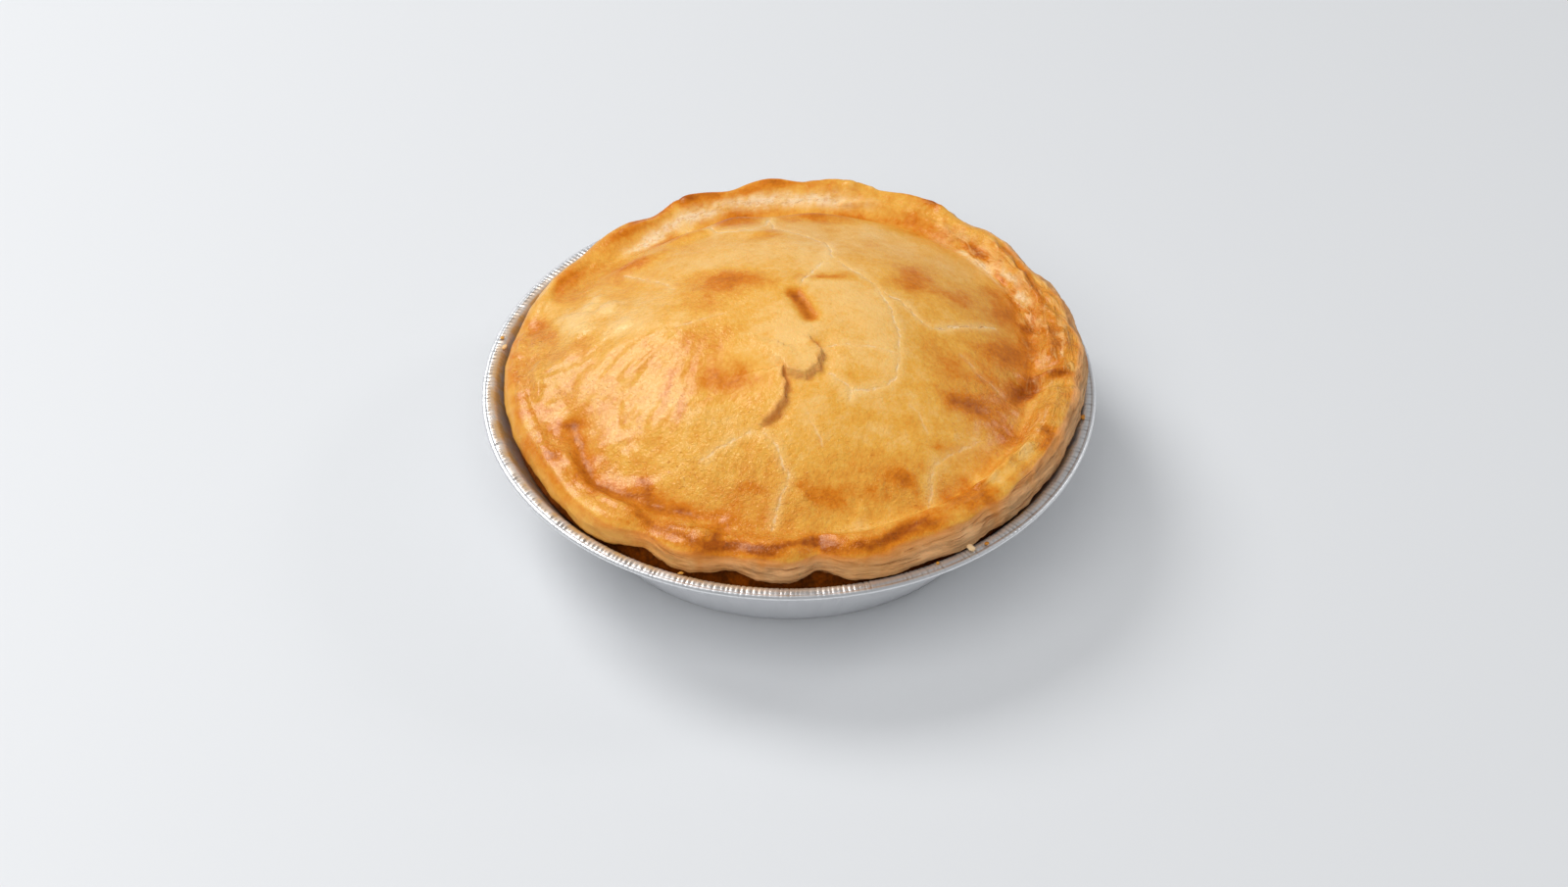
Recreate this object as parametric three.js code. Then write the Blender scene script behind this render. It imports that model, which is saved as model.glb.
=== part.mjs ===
// Chicken pot pie in its foil pan: a single-serving pie with a domed golden lid and a thumb-crimped
// edge, uncut, resting in the shallow foil pan that it was baked in.
//
// Millimetres, +Z up. The origin is the middle of the flat underside of the pan, the pie is viewed
// from -Y, and angles are in degrees, counter-clockwise from +X (the right-hand side).

import * as THREE from 'three';

// ---------------------------------------------------------------------------------------------
// Driving dimensions
// ---------------------------------------------------------------------------------------------

const RIM_RADIUS = 73;            // outside of the pan's rim
const PAN_HEIGHT = 28.6;          // underside of the pan to the top of its rim
const BASE_RADIUS = 52.5;         // outside of the wall where it leaves the base
const BASE_CORNER = 1.6;          // corner between base and wall
const FOIL = 0.4;                 // thickness of the pan's metal as modelled
const FLANGE_WIDTH = 3.2;         // rim, measured across from the top of the wall
const FLANGE_DROP = 1.3;          // rim, top to underside
const WALL_TOP_DEPTH = 0.6;       // the wall reaches this far below the top of the rim
const HEM_WIDTH = 1.05;           // folded hem round the outside of the rim's bead
const HEM_DROP = 0.25;            // the hem lies this far below the bead
const HEM_ROUNDING = 0.3;         // rounding of the hem's edge and of the bead
const HEM_CREASE = 0.2;           // depth of the crease between the two

const CLEARANCE = 0.3;            // between the pastry and the foil
const DOME_RISE = 22.8;           // top of the lid above the rim
const DOME_LEAN = 0.9;            // the lid stands higher towards the back by up to this
const LIP_RADIUS = 69.0;          // the pastry's underside clears the pan's rim out from here
const LIP_WIDTH = 0.8;            // foot of the edge, measured across, where nothing else limits it
const LIP_DROP = 0.25;            // the foot's inner side lies lower by this
const TUCK = 1.5;                 // the underside then draws in behind the wall's contact line
const TUCK_DROP = 1.3;            // this far below the foot of the edge
const CONTACT_DEPTH = 5.2;        // below the rim, where the pastry first meets the pan's wall

const PIE_SEGMENTS = 132;
const PAN_SEGMENTS = 120;
const DOME_RINGS = 17;
const SLOPE_RINGS = 4;
const SHOULDER_RINGS = 5;

// The outer edge every 15 degrees from +X round to the back, the left and the front.
const EDGE_RADIUS = [
  71.1, 71.6, 70.7, 71.0, 71.3, 71.1, 70.6, 69.6, 68.6, 68.2, 68.1, 68.0,
  67.9, 67.1, 66.9, 69.0, 69.3, 69.0, 69.1, 69.8, 70.1, 69.7, 69.4, 69.5,
];

// The rest of the edge and the lid, every 30 degrees.
const CREST_RISE = [7.4, 7.4, 8.0, 8.6, 7.2, 5.0, 4.0, 4.8, 6.2, 7.6, 8.3, 7.6];
const SHOULDER_RUN = [4.4, 3.4, 2.0, 1.7, 2.2, 4.2, 5.2, 5.4, 4.6, 5.6, 7.4, 5.4];
const GROOVE_RISE = [4.4, 4.2, 4.4, 4.6, 4.4, 4.6, 5.0, 4.6, 5.0, 5.6, 5.2, 4.6];
const GROOVE_RADIUS = [57.5, 60.0, 60.5, 58.0, 57.2, 58.8, 60.5, 56.0, 56.0, 58.0, 58.8, 58.0];
const DOME_POWER = [2.2, 2.1, 1.95, 2.1, 2.1, 1.95, 1.8, 1.9, 2.0, 2.1, 2.2, 2.3];
const EDGE_RISE = [0.8, 0.8, 0.8, 0.8, 0.5, 0.0, -0.3, -0.2, 0.2, 0.3, 0.5, 0.6];
// How boxy the outer shoulder is: 1 is a round, 0.5 nearly square.
const SHOULDER_ROUND = [0.60, 0.62, 0.62, 0.62, 0.65, 0.80, 1.00, 0.95, 0.76, 0.72, 0.80, 0.62];
// Rounding where the dome meets the crimped edge.
const CREASE_SOFTNESS = [0.8, 0.8, 0.8, 0.8, 1.0, 1.6, 1.8, 2.4, 2.2, 1.6, 1.2, 0.9];

// Thumb presses round the edge: direction, how deep, half-width in degrees.
const THUMB_PRESSES = [
  [12, 0.7, 5], [31, 0.8, 5], [50, 1.1, 5], [70, 1.0, 4.5], [87, 1.2, 4.5], [103, 1.5, 5],
  [121, 1.6, 4.5], [140, 0.7, 5], [163, 0.4, 5], [222, 0.5, 5], [241, 2.6, 5], [259, 1.9, 4.5],
  [276, 2.8, 4], [296, 0.6, 5], [311, 0.5, 4], [325, 0.4, 4], [339, 0.4, 4], [354, 0.5, 3.5],
];
const PRESS_CREST_DROP = 0.55;    // a press also lowers the crest, as a share of its depth,
const PRESS_CREST_BITE = 0.25;    // pushes it in by this share more than the edge below it
const PRESS_EDGE_LIFT = 0.40;     // and lifts the foot of the edge by this share

// Swells and hollows of the lid and its edge: x, y, height, radius.
const SWELLS = [
  [62, 3, 1.5, 4.5], [60, -19, 1.1, 4.0], [50, -38, 0.8, 6.0], [30, 42, -0.8, 9.0],
  [-30, -6, 1.1, 12.0], [-36, 18, -0.9, 9.0], [-24, -30, 1.0, 10.0], [-45, -40, -1.0, 6.0],
  [-57, -8, 0.9, 7.0], [-55, 22, 0.8, 6.0], [-61, 14, -0.8, 3.5], [20, -30, -0.7, 9.0],
  [36, -6, -0.9, 9.0], [10, 36, -0.8, 8.0], [-14, 42, 0.8, 7.0], [28, -46, 0.6, 6.0],
];

// Puffed lobes of the lid: x, y, half-length, half-width, turn, height.
const LOBES = [
  [-25, 41.2, 8.5, 2.8, 24, 2.0], [-13, 48.4, 8.0, 2.8, 11, 2.0], [7.5, 51.6, 10.0, 2.8, 2, 2.0],
  [-36, 32.2, 8.0, 3.2, 24, 1.5], [22, 48, 7.5, 4.0, -22, 0.6], [33, 43, 7.0, 4.5, -38, 0.6],
  [-52, -2, 5.0, 3.0, 80, 0.5], [-49, -17, 6.0, 3.0, 75, 0.6], [-41, -33, 6.0, 3.0, -60, 0.5],
];

// Folds of the edge: the first runs over it, the others lie along it.
const FOLDS = [
  [[57.5, -5.6], [61, -4.9], [66.5, -5.6]],
  [[50, 43.5], [54, 37], [57.5, 31.5], [59.4, 25], [61, 19], [65, 14]],
  [[41, -46.2], [45.4, -43], [50.5, -36.5], [55.6, -31]],
];
const FOLD_HEIGHT = 1.3;
const FOLD_HALF_WIDTH = 1.3;
const FOLD_END_FADE = 2;          // a fold dies away over this length at its ends,
const FOLD_END_SHARE = 0.2;       // starting from about this much of its height

// The lid's split: the left side has lifted over the right along this line, (x, y) from its far end.
const SPLIT_LINE = [
  [4, -9], [7.5, -14.5], [7, -19], [4, -22], [0, -21], [-1.2, -19.5], [-0.8, -24], [-1.2, -28],
  [-2.5, -31.5], [-5, -34], [-7, -36],
];
const SPLIT_LIFT = 0.9;           // the left side stands up by this
const SPLIT_DROP = 0.5;           // and the right side sinks by this
const SPLIT_LIFT_REACH = 9;       // how far the lift spreads
const SPLIT_DROP_REACH = 3.5;     // how far the drop spreads
const SPLIT_END_FADE = 4;         // both die away over this length at the ends

// The steam vent: a short trough near the top of the lid.
const VENT_LINE = [[1.4, 5.0], [3.0, 1.4], [4.9, -2.8]];
const VENT_DEPTH = 0.8;
const VENT_HALF_WIDTH = 1.4;

const CRUST_COLOUR = 0xd2913d;
const FOIL_COLOUR = 0xc6cacf;

// ---------------------------------------------------------------------------------------------
// Small helpers
// ---------------------------------------------------------------------------------------------

const FULL_TURN = 360;
const radians = THREE.MathUtils.degToRad;
const smooth = (t) => THREE.MathUtils.smoothstep(t, 0, 1);
const bell = (distance, width) => Math.exp(-((distance / width) ** 2));

// Shortest signed way from one direction to another, in degrees.
function turn(from, to) {
  return ((to - from + FULL_TURN / 2 + FULL_TURN) % FULL_TURN) - FULL_TURN / 2;
}

// Reads a list of values spaced evenly round the pie, passing smoothly from each to the next.
function around(values, angle) {
  const n = values.length;
  const place = (((angle % FULL_TURN) + FULL_TURN) % FULL_TURN) / (FULL_TURN / n);
  const i = Math.floor(place);
  const at = (k) => values[(i + k + n) % n];
  const curve = new THREE.CatmullRomCurve3(
    [-1, 0, 1, 2].map((k) => new THREE.Vector3(k, at(k), 0)), false, 'catmullrom', 0.5);
  return curve.getPoint((1 + place - i) / 3).y;
}

// The larger of two heights, with the crease between them rounded.
function blendedMax(a, b, softness) {
  const h = THREE.MathUtils.clamp(0.5 + (0.5 * (a - b)) / softness, 0, 1);
  return THREE.MathUtils.lerp(b, a, h) + softness * h * (1 - h);
}

// Distance from (x, y) to a line of points, the side it lies on (+1 left of the line's direction)
// and how far along the line the nearest point is.
function nearestOnLine(line, x, y) {
  let best = { distance: Infinity, side: 1, along: 0, total: 0 };
  let walked = 0;
  for (let i = 0; i + 1 < line.length; i += 1) {
    const [ax, ay] = line[i];
    const [dx, dy] = [line[i + 1][0] - ax, line[i + 1][1] - ay];
    const length = Math.hypot(dx, dy);
    const t = THREE.MathUtils.clamp(((x - ax) * dx + (y - ay) * dy) / length ** 2, 0, 1);
    const distance = Math.hypot(x - ax - t * dx, y - ay - t * dy);
    if (distance < best.distance) {
      const side = Math.sign(dx * (y - ay) - dy * (x - ax)) || 1;
      best = { distance, side, along: walked + t * length };
    }
    walked += length;
  }
  best.total = walked;
  return best;
}

// ---------------------------------------------------------------------------------------------
// The foil pan
// ---------------------------------------------------------------------------------------------

const WALL_TOP_RADIUS = RIM_RADIUS - FLANGE_WIDTH;   // outside of the wall at its top
const WALL_TOP = PAN_HEIGHT - WALL_TOP_DEPTH;
const WALL_SLOPE = (WALL_TOP_RADIUS - BASE_RADIUS) / (WALL_TOP - BASE_CORNER);

// Radii of the pan's wall at a height, and the radius that the pastry may fill there.
const wallOutside = (z) => BASE_RADIUS + (z - BASE_CORNER) * WALL_SLOPE;
const wallInside = (z) => wallOutside(z) - FOIL * Math.hypot(1, WALL_SLOPE);
const fillRadius = (z) => wallInside(z) - CLEARANCE;

function panProfile() {
  const middle = 0.5 * WALL_TOP;
  const underside = PAN_HEIGHT - FLANGE_DROP;
  const hemTop = PAN_HEIGHT - HEM_DROP;
  const hemInner = RIM_RADIUS - HEM_WIDTH;
  return [
    [0, 0],
    [BASE_RADIUS - BASE_CORNER, 0],
    [BASE_RADIUS - 0.3 * BASE_CORNER, 0.3 * BASE_CORNER],
    [wallOutside(BASE_CORNER), BASE_CORNER],
    [wallOutside(middle), middle],
    [wallOutside(underside), underside],
    [RIM_RADIUS - HEM_ROUNDING, underside],
    [RIM_RADIUS, underside + HEM_ROUNDING],
    [RIM_RADIUS, hemTop - HEM_ROUNDING],
    [RIM_RADIUS - HEM_ROUNDING, hemTop],
    [hemInner + HEM_CREASE, hemTop],
    [hemInner, hemTop - HEM_CREASE],
    [hemInner - HEM_ROUNDING, PAN_HEIGHT - 0.5 * HEM_ROUNDING],
    [hemInner - 3 * HEM_ROUNDING, PAN_HEIGHT],
    [WALL_TOP_RADIUS + 2 * HEM_ROUNDING, PAN_HEIGHT],
    [WALL_TOP_RADIUS + 0.5 * HEM_ROUNDING, PAN_HEIGHT - 0.5 * HEM_ROUNDING],
    [wallInside(WALL_TOP - FOIL), WALL_TOP - FOIL],
    [wallInside(middle), middle],
    [BASE_RADIUS - FOIL, BASE_CORNER],
    [BASE_RADIUS - BASE_CORNER, FOIL],
    [0, FOIL],
  ].map(([radius, height]) => new THREE.Vector2(radius, height));
}

function makePan() {
  const geometry = new THREE.LatheGeometry(panProfile(), PAN_SEGMENTS);
  geometry.rotateX(Math.PI / 2);
  const finish = new THREE.MeshStandardMaterial({ color: FOIL_COLOUR, roughness: 0.32, metalness: 1 });
  const pan = new THREE.Mesh(geometry, finish);
  pan.name = 'foil_pan';
  return pan;
}

// ---------------------------------------------------------------------------------------------
// The pie
// ---------------------------------------------------------------------------------------------

// The edge's sizes in one direction: where its outer edge, crest and inner groove lie.
function edgeAt(angle) {
  const press = THUMB_PRESSES.reduce(
    (sum, [at, depth, width]) => sum + depth * bell(turn(at, angle), width), 0);
  const edgeRadius = around(EDGE_RADIUS, angle) - press;
  return {
    edgeRadius,
    edgeHeight: PAN_HEIGHT + around(EDGE_RISE, angle) + PRESS_EDGE_LIFT * press,
    crestRadius: edgeRadius - around(SHOULDER_RUN, angle) - PRESS_CREST_BITE * press,
    crestHeight: PAN_HEIGHT + around(CREST_RISE, angle) - PRESS_CREST_DROP * press,
    grooveRadius: around(GROOVE_RADIUS, angle),
    grooveHeight: PAN_HEIGHT + around(GROOVE_RISE, angle),
    domePower: around(DOME_POWER, angle),
    shoulderRound: around(SHOULDER_ROUND, angle),
    creaseSoftness: around(CREASE_SOFTNESS, angle),
  };
}

// How much the split lifts or drops the lid at (x, y).
function splitRelief(x, y) {
  const near = nearestOnLine(SPLIT_LINE, x, y);
  const fade = smooth(Math.min(near.along, near.total - near.along) / SPLIT_END_FADE);
  const onRaisedSide = near.side < 0;
  return onRaisedSide
    ? fade * SPLIT_LIFT * bell(near.distance, SPLIT_LIFT_REACH)
    : -fade * SPLIT_DROP * bell(near.distance, SPLIT_DROP_REACH);
}

function ventRelief(x, y) {
  return -VENT_DEPTH * bell(nearestOnLine(VENT_LINE, x, y).distance, VENT_HALF_WIDTH);
}

// How much the lobes and folds raise the upper face at (x, y).
function puffedRelief(x, y) {
  const lobes = LOBES.reduce((sum, [cx, cy, halfLength, halfWidth, turned, height]) => {
    const [c, s] = [Math.cos(radians(turned)), Math.sin(radians(turned))];
    const along = ((x - cx) * c + (y - cy) * s) / halfLength;
    const across = ((y - cy) * c - (x - cx) * s) / halfWidth;
    return sum + height * Math.exp(-(along ** 2) - across ** 2);
  }, 0);
  const folds = FOLDS.map((line) => {
    const near = nearestOnLine(line, x, y);
    const fade = smooth(Math.min(near.along, near.total - near.along) / FOLD_END_FADE + FOLD_END_SHARE);
    return fade * FOLD_HEIGHT * bell(near.distance, FOLD_HALF_WIDTH);
  });
  return lobes + Math.max(...folds);
}

// Height of the pastry's upper face, inside the crest.
function lidHeight(radius, angle, edge) {
  const x = radius * Math.cos(radians(angle));
  const y = radius * Math.sin(radians(angle));
  const share = radius / edge.grooveRadius;
  const lean = DOME_LEAN * (y / edge.grooveRadius) * (1 - Math.min(share, 1) ** 2);
  const rise = PAN_HEIGHT + DOME_RISE - edge.grooveHeight;
  const dome = edge.grooveHeight + rise * (1 - share ** edge.domePower) + lean;
  const climb = smooth((radius - edge.grooveRadius) / (edge.crestRadius - edge.grooveRadius));
  const rim = THREE.MathUtils.lerp(edge.grooveHeight, edge.crestHeight, climb);
  const swell = SWELLS.reduce(
    (sum, [sx, sy, height, reach]) => sum + height * bell(Math.hypot(x - sx, y - sy), reach), 0);
  return blendedMax(dome, rim, edge.creaseSoftness) + swell
    + puffedRelief(x, y) + splitRelief(x, y) + ventRelief(x, y);
}

// The pastry's section in one direction, from the middle of the lid over the edge and down to the
// middle of the underside, as [radius, height].
function pieSection(angle) {
  const edge = edgeAt(angle);
  const section = [];
  for (let i = 0; i <= DOME_RINGS; i += 1) {
    const radius = (edge.grooveRadius * i) / DOME_RINGS;
    section.push([radius, lidHeight(radius, angle, edge)]);
  }
  for (let i = 1; i <= SLOPE_RINGS; i += 1) {
    const radius = THREE.MathUtils.lerp(edge.grooveRadius, edge.crestRadius, i / SLOPE_RINGS);
    section.push([radius, lidHeight(radius, angle, edge)]);
  }
  const shoulderTop = section.at(-1)[1];
  for (let i = 1; i <= SHOULDER_RINGS; i += 1) {
    const quarter = (Math.PI / 2) * (i / SHOULDER_RINGS);
    section.push([
      edge.crestRadius + (edge.edgeRadius - edge.crestRadius) * Math.sin(quarter) ** edge.shoulderRound,
      edge.edgeHeight + (shoulderTop - edge.edgeHeight) * Math.max(Math.cos(quarter), 0) ** edge.shoulderRound,
    ]);
  }
  const contactHeight = PAN_HEIGHT - CONTACT_DEPTH;
  const cornerHeight = BASE_CORNER + FOIL + CLEARANCE;
  const floor = FOIL + CLEARANCE;
  section.push([Math.min(edge.edgeRadius - LIP_WIDTH, LIP_RADIUS), edge.edgeHeight - LIP_DROP]);
  section.push([fillRadius(contactHeight) - TUCK, edge.edgeHeight - TUCK_DROP]);
  section.push([fillRadius(contactHeight), contactHeight]);
  section.push([fillRadius(0.5 * contactHeight), 0.5 * contactHeight]);
  section.push([fillRadius(cornerHeight), cornerHeight]);
  section.push([fillRadius(cornerHeight) - BASE_CORNER, floor]);
  section.push([0, floor]);
  return section;
}

// A turned solid is made from one plain profile, then each of its lines is given the section that
// the pastry has in that direction. The first line of a turned solid lies towards -Y.
function makePie() {
  const plain = pieSection(0).map(([radius, height]) => new THREE.Vector2(radius, height));
  const geometry = new THREE.LatheGeometry(plain.reverse(), PIE_SEGMENTS);
  geometry.rotateX(Math.PI / 2);
  const places = geometry.getAttribute('position');
  for (let line = 0; line <= PIE_SEGMENTS; line += 1) {
    const angle = (FULL_TURN * (line % PIE_SEGMENTS)) / PIE_SEGMENTS - FULL_TURN / 4;
    pieSection(angle).reverse().forEach(([radius, height], i) => {
      const x = radius * Math.cos(radians(angle));
      const y = radius * Math.sin(radians(angle));
      places.setXYZ(line * plain.length + i, x, y, height);
    });
  }
  geometry.computeVertexNormals();
  const finish = new THREE.MeshStandardMaterial({ color: CRUST_COLOUR, roughness: 0.45, metalness: 0 });
  const pie = new THREE.Mesh(geometry, finish);
  pie.name = 'pie';
  return pie;
}

// ---------------------------------------------------------------------------------------------
// The whole object
// ---------------------------------------------------------------------------------------------

const group = new THREE.Group();
group.add(makePan(), makePie());
export default group;
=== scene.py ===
import math

import bpy
import numpy as np
from bpy.props import FloatProperty, FloatVectorProperty, IntProperty, PointerProperty
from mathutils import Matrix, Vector


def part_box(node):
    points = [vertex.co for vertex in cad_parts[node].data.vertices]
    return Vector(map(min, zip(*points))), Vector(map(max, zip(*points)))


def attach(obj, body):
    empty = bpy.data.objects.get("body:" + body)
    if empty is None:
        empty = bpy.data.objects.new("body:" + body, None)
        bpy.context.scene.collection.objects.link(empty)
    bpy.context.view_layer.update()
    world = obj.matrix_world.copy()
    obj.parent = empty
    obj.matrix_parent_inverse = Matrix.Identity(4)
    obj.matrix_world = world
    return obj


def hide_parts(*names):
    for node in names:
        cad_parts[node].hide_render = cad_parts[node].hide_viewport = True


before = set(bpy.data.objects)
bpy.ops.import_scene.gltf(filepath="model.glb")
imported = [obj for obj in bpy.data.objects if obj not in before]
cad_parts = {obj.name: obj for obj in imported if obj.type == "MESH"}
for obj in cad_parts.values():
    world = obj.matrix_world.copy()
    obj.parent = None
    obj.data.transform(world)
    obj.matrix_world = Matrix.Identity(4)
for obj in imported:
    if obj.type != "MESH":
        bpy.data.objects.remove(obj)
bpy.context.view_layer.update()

bl_info = {
    "name": "Chicken pot pie in its foil pan",
    "version": (1, 0, 0),
    "blender": (4, 5, 0),
    "location": "3D View > Sidebar > Pot pie",
    "description": "Builds a single-serving pot pie with a glazed domed crust in a crimped foil pan",
    "category": "Add Mesh",
}

MM = 0.001
TURN = 2.0 * math.pi
PAN_LOW, PAN_HIGH = (Vector(corner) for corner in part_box("foil_pan"))
PIE_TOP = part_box("pie")[1][2] / MM
RIM_RADIUS = (PAN_HIGH.x - PAN_LOW.x) / 2.0 / MM
PAN_HEIGHT = (PAN_HIGH.z - PAN_LOW.z) / MM

# =================================================================================================
# Shape of the crust (millimetres, degrees counter-clockwise from +X, the front is -Y)
# =================================================================================================

# Every 15 degrees from +X round to the back, the left and the front.
EDGE_RADIUS = (71.1, 71.6, 70.7, 71.0, 71.3, 71.1, 70.6, 69.6, 68.6, 68.2, 68.1, 68.0,
               67.9, 67.1, 66.9, 69.0, 69.3, 69.0, 69.1, 69.8, 70.1, 69.7, 69.4, 69.5)
# Every 30 degrees.
CREST_RISE = (7.4, 7.4, 8.0, 8.6, 7.2, 5.0, 4.0, 4.8, 6.2, 7.6, 8.3, 7.6)
SHOULDER_RUN = (4.4, 3.4, 2.0, 1.7, 2.2, 4.2, 5.2, 5.4, 4.6, 5.6, 7.4, 5.4)
GROOVE_RISE = (4.4, 4.2, 4.4, 4.6, 4.4, 4.6, 5.0, 4.6, 5.0, 5.6, 5.2, 4.6)
GROOVE_RADIUS = (57.5, 60.0, 60.5, 58.0, 57.2, 58.8, 60.5, 56.0, 56.0, 58.0, 58.8, 58.0)
DOME_POWER = (2.2, 2.1, 1.95, 2.1, 2.1, 1.95, 1.8, 1.9, 2.0, 2.1, 2.2, 2.3)
EDGE_RISE = (0.8, 0.8, 0.8, 0.8, 0.5, 0.0, -0.3, -0.2, 0.2, 0.3, 0.5, 0.6)
SHOULDER_ROUND = (0.60, 0.62, 0.62, 0.62, 0.65, 0.80, 1.00, 0.95, 0.76, 0.72, 0.80, 0.62)
SOFT_CREASE = (0.8, 0.8, 0.8, 0.8, 1.0, 1.6, 1.8, 2.4, 2.2, 1.6, 1.2, 0.9)

# Thumb presses round the edge: direction, depth, half-width in degrees.
THUMB_PRESSES = (
    (12, 0.7, 5), (31, 0.8, 5), (50, 1.1, 5), (70, 1.0, 4.5), (87, 1.2, 4.5), (103, 1.5, 5),
    (121, 1.6, 4.5), (140, 0.7, 5), (163, 0.4, 5), (222, 0.5, 5), (241, 2.6, 5), (259, 1.9, 4.5),
    (276, 2.8, 4), (296, 0.6, 5), (311, 0.5, 4), (325, 0.4, 4), (339, 0.4, 4), (354, 0.5, 3.5),
)

# Swells and hollows of the lid and its edge: x, y, height, radius.
SWELLS = (
    (62, 3, 1.5, 4.5), (60, -19, 1.1, 4.0), (50, -38, 0.8, 6.0), (30, 42, -0.8, 9.0),
    (-30, -6, 1.1, 12.0), (-36, 18, -0.9, 9.0), (-24, -30, 1.0, 10.0), (-45, -40, -1.0, 6.0),
    (-57, -8, 0.9, 7.0), (-55, 22, 0.8, 6.0), (-61, 14, -0.8, 3.5), (20, -30, -0.7, 9.0),
    (36, -6, -0.9, 9.0), (10, 36, -0.8, 8.0), (-14, 42, 0.8, 7.0), (28, -46, 0.6, 6.0),
)

SPLIT_LINE = ((4, -9), (7.5, -14.5), (7, -19), (4, -22), (0, -21), (-1.2, -19.5), (-0.8, -24),
              (-1.2, -28), (-2.5, -31.5), (-5, -34), (-7, -36))
VENT_LINE = ((1.4, 5.0), (3.0, 1.4), (4.9, -2.8))

# Grooves pressed or cracked into the crust: depth, half-width, then the points it runs through.
GROOVES = (
    (0.45, 0.9, ((43, 46.5), (45.5, 43.5), (48, 41.2), (49.3, 38))),
    (0.40, 0.9, ((50, 35), (53.5, 30), (55, 25), (57, 19), (59, 13))),
    (0.55, 0.8, ((55, 36.5), (58, 31.5), (59, 25.5), (61, 20.5))),
    (0.45, 0.7, ((60, 35), (61, 27), (62.5, 21))),
    (0.80, 1.1, ((56, -8.2), (60, -8.8), (65, -9.0))),
    (0.70, 1.0, ((56, -8), (55, -11), (53, -15))),
    (0.55, 1.0, ((58, -25), (61, -26.5))),
    (0.70, 2.2, ((-50, -22), (-47.5, -30), (-46.5, -37), (-42.5, -42.5), (-36, -46), (-30, -48.5),
                 (-24, -51), (-16, -53))),
    (0.50, 0.9, ((-57, 25), (-56.3, 30), (-53, 34), (-49, 38))),
    (0.40, 0.6, ((-64, 3), (-64.6, -3), (-64.3, -8))),
    (0.55, 2.0, ((-15, -57), (-15, -64.5))),
    (0.40, 2.2, ((6, -60), (6.6, -65.5))),
    (0.60, 1.2, ((27, -57.5), (24, -61), (21, -64))),
    (0.45, 0.9, ((-27, 60), (-28.5, 63.5))),
    (0.40, 1.0, ((36.5, 57), (38.5, 60.5))),
    (0.14, 0.6, ((-39, -18), (-39.3, -25), (-38.3, -31), (-36, -35.5))),
    (0.35, 0.8, ((12, 62.5), (22, 60.8), (31, 57.5), (37, 54))),
)

# Folds and flaky ridges of the edge: height, half-width, points.
RIDGES = (
    (1.3, 0.9, ((50, 43.5), (54, 37), (57.5, 31.5), (59.4, 25), (61, 19), (65, 14))),
    (1.1, 1.0, ((62, 14), (62.2, 8), (62, 1))),
    (0.9, 0.8, ((65.6, 12), (66, 6), (65.8, 0))),
    (1.5, 1.5, ((57.5, -5.6), (61, -4.9), (64.5, -5.0), (66.5, -5.6))),
    (1.1, 1.1, ((41, -46.2), (45.4, -43), (50.5, -36.5), (55.6, -31))),
    (0.9, 0.9, ((13, 61.8), (22, 60.6), (30, 57.6), (37, 52.4), (42, 47.2))),
    (0.5, 0.8, ((60, -9), (62.5, -12.5), (62, -17), (60.5, -21))),
    (0.5, 1.0, ((-58, 6), (-59.5, -4), (-58.5, -14))),
    (0.7, 1.2, ((-51.5, -30), (-47.5, -38.5), (-41, -46.5), (-33, -52.5))),
    (0.5, 1.0, ((-28, -56), (-20, -58.6), (-12, -60.4))),
    (0.5, 0.9, ((-42, 48.5), (-36, 53), (-29, 56.8))),
)

# Puffed lobes and lumps: x, y, half-length, half-width, turn, height.
LOBES = (
    (-25, 41.2, 8.5, 2.8, 24, 2.0), (-13, 48.4, 8, 2.8, 11, 2.0), (7.5, 51.6, 10, 2.8, 2, 2.0),
    (-36, 32.2, 8, 3.2, 24, 1.5), (-6.4, 36.5, 4, 1.8, 0, 0.6), (22, 48, 7.5, 4, -22, 0.6),
    (33, 43, 7, 4.5, -38, 0.6), (58, -25.5, 2.4, 2.2, 0, 1.0), (60.5, -20.5, 1.8, 1.6, 0, 0.6),
    (54.5, -8.2, 2.6, 1.8, -40, -1.0), (16, 66.5, 2.6, 1.2, 0, 0.6), (-26, 61.5, 3, 1.6, 22, 0.6),
    (37.5, 59.0, 2.6, 1.6, -50, 0.7), (-52, -2, 5, 3, 80, 0.5), (-49, -17, 6, 3, 75, 0.6),
    (-41, -33, 6, 3, -60, 0.5),
)

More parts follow.
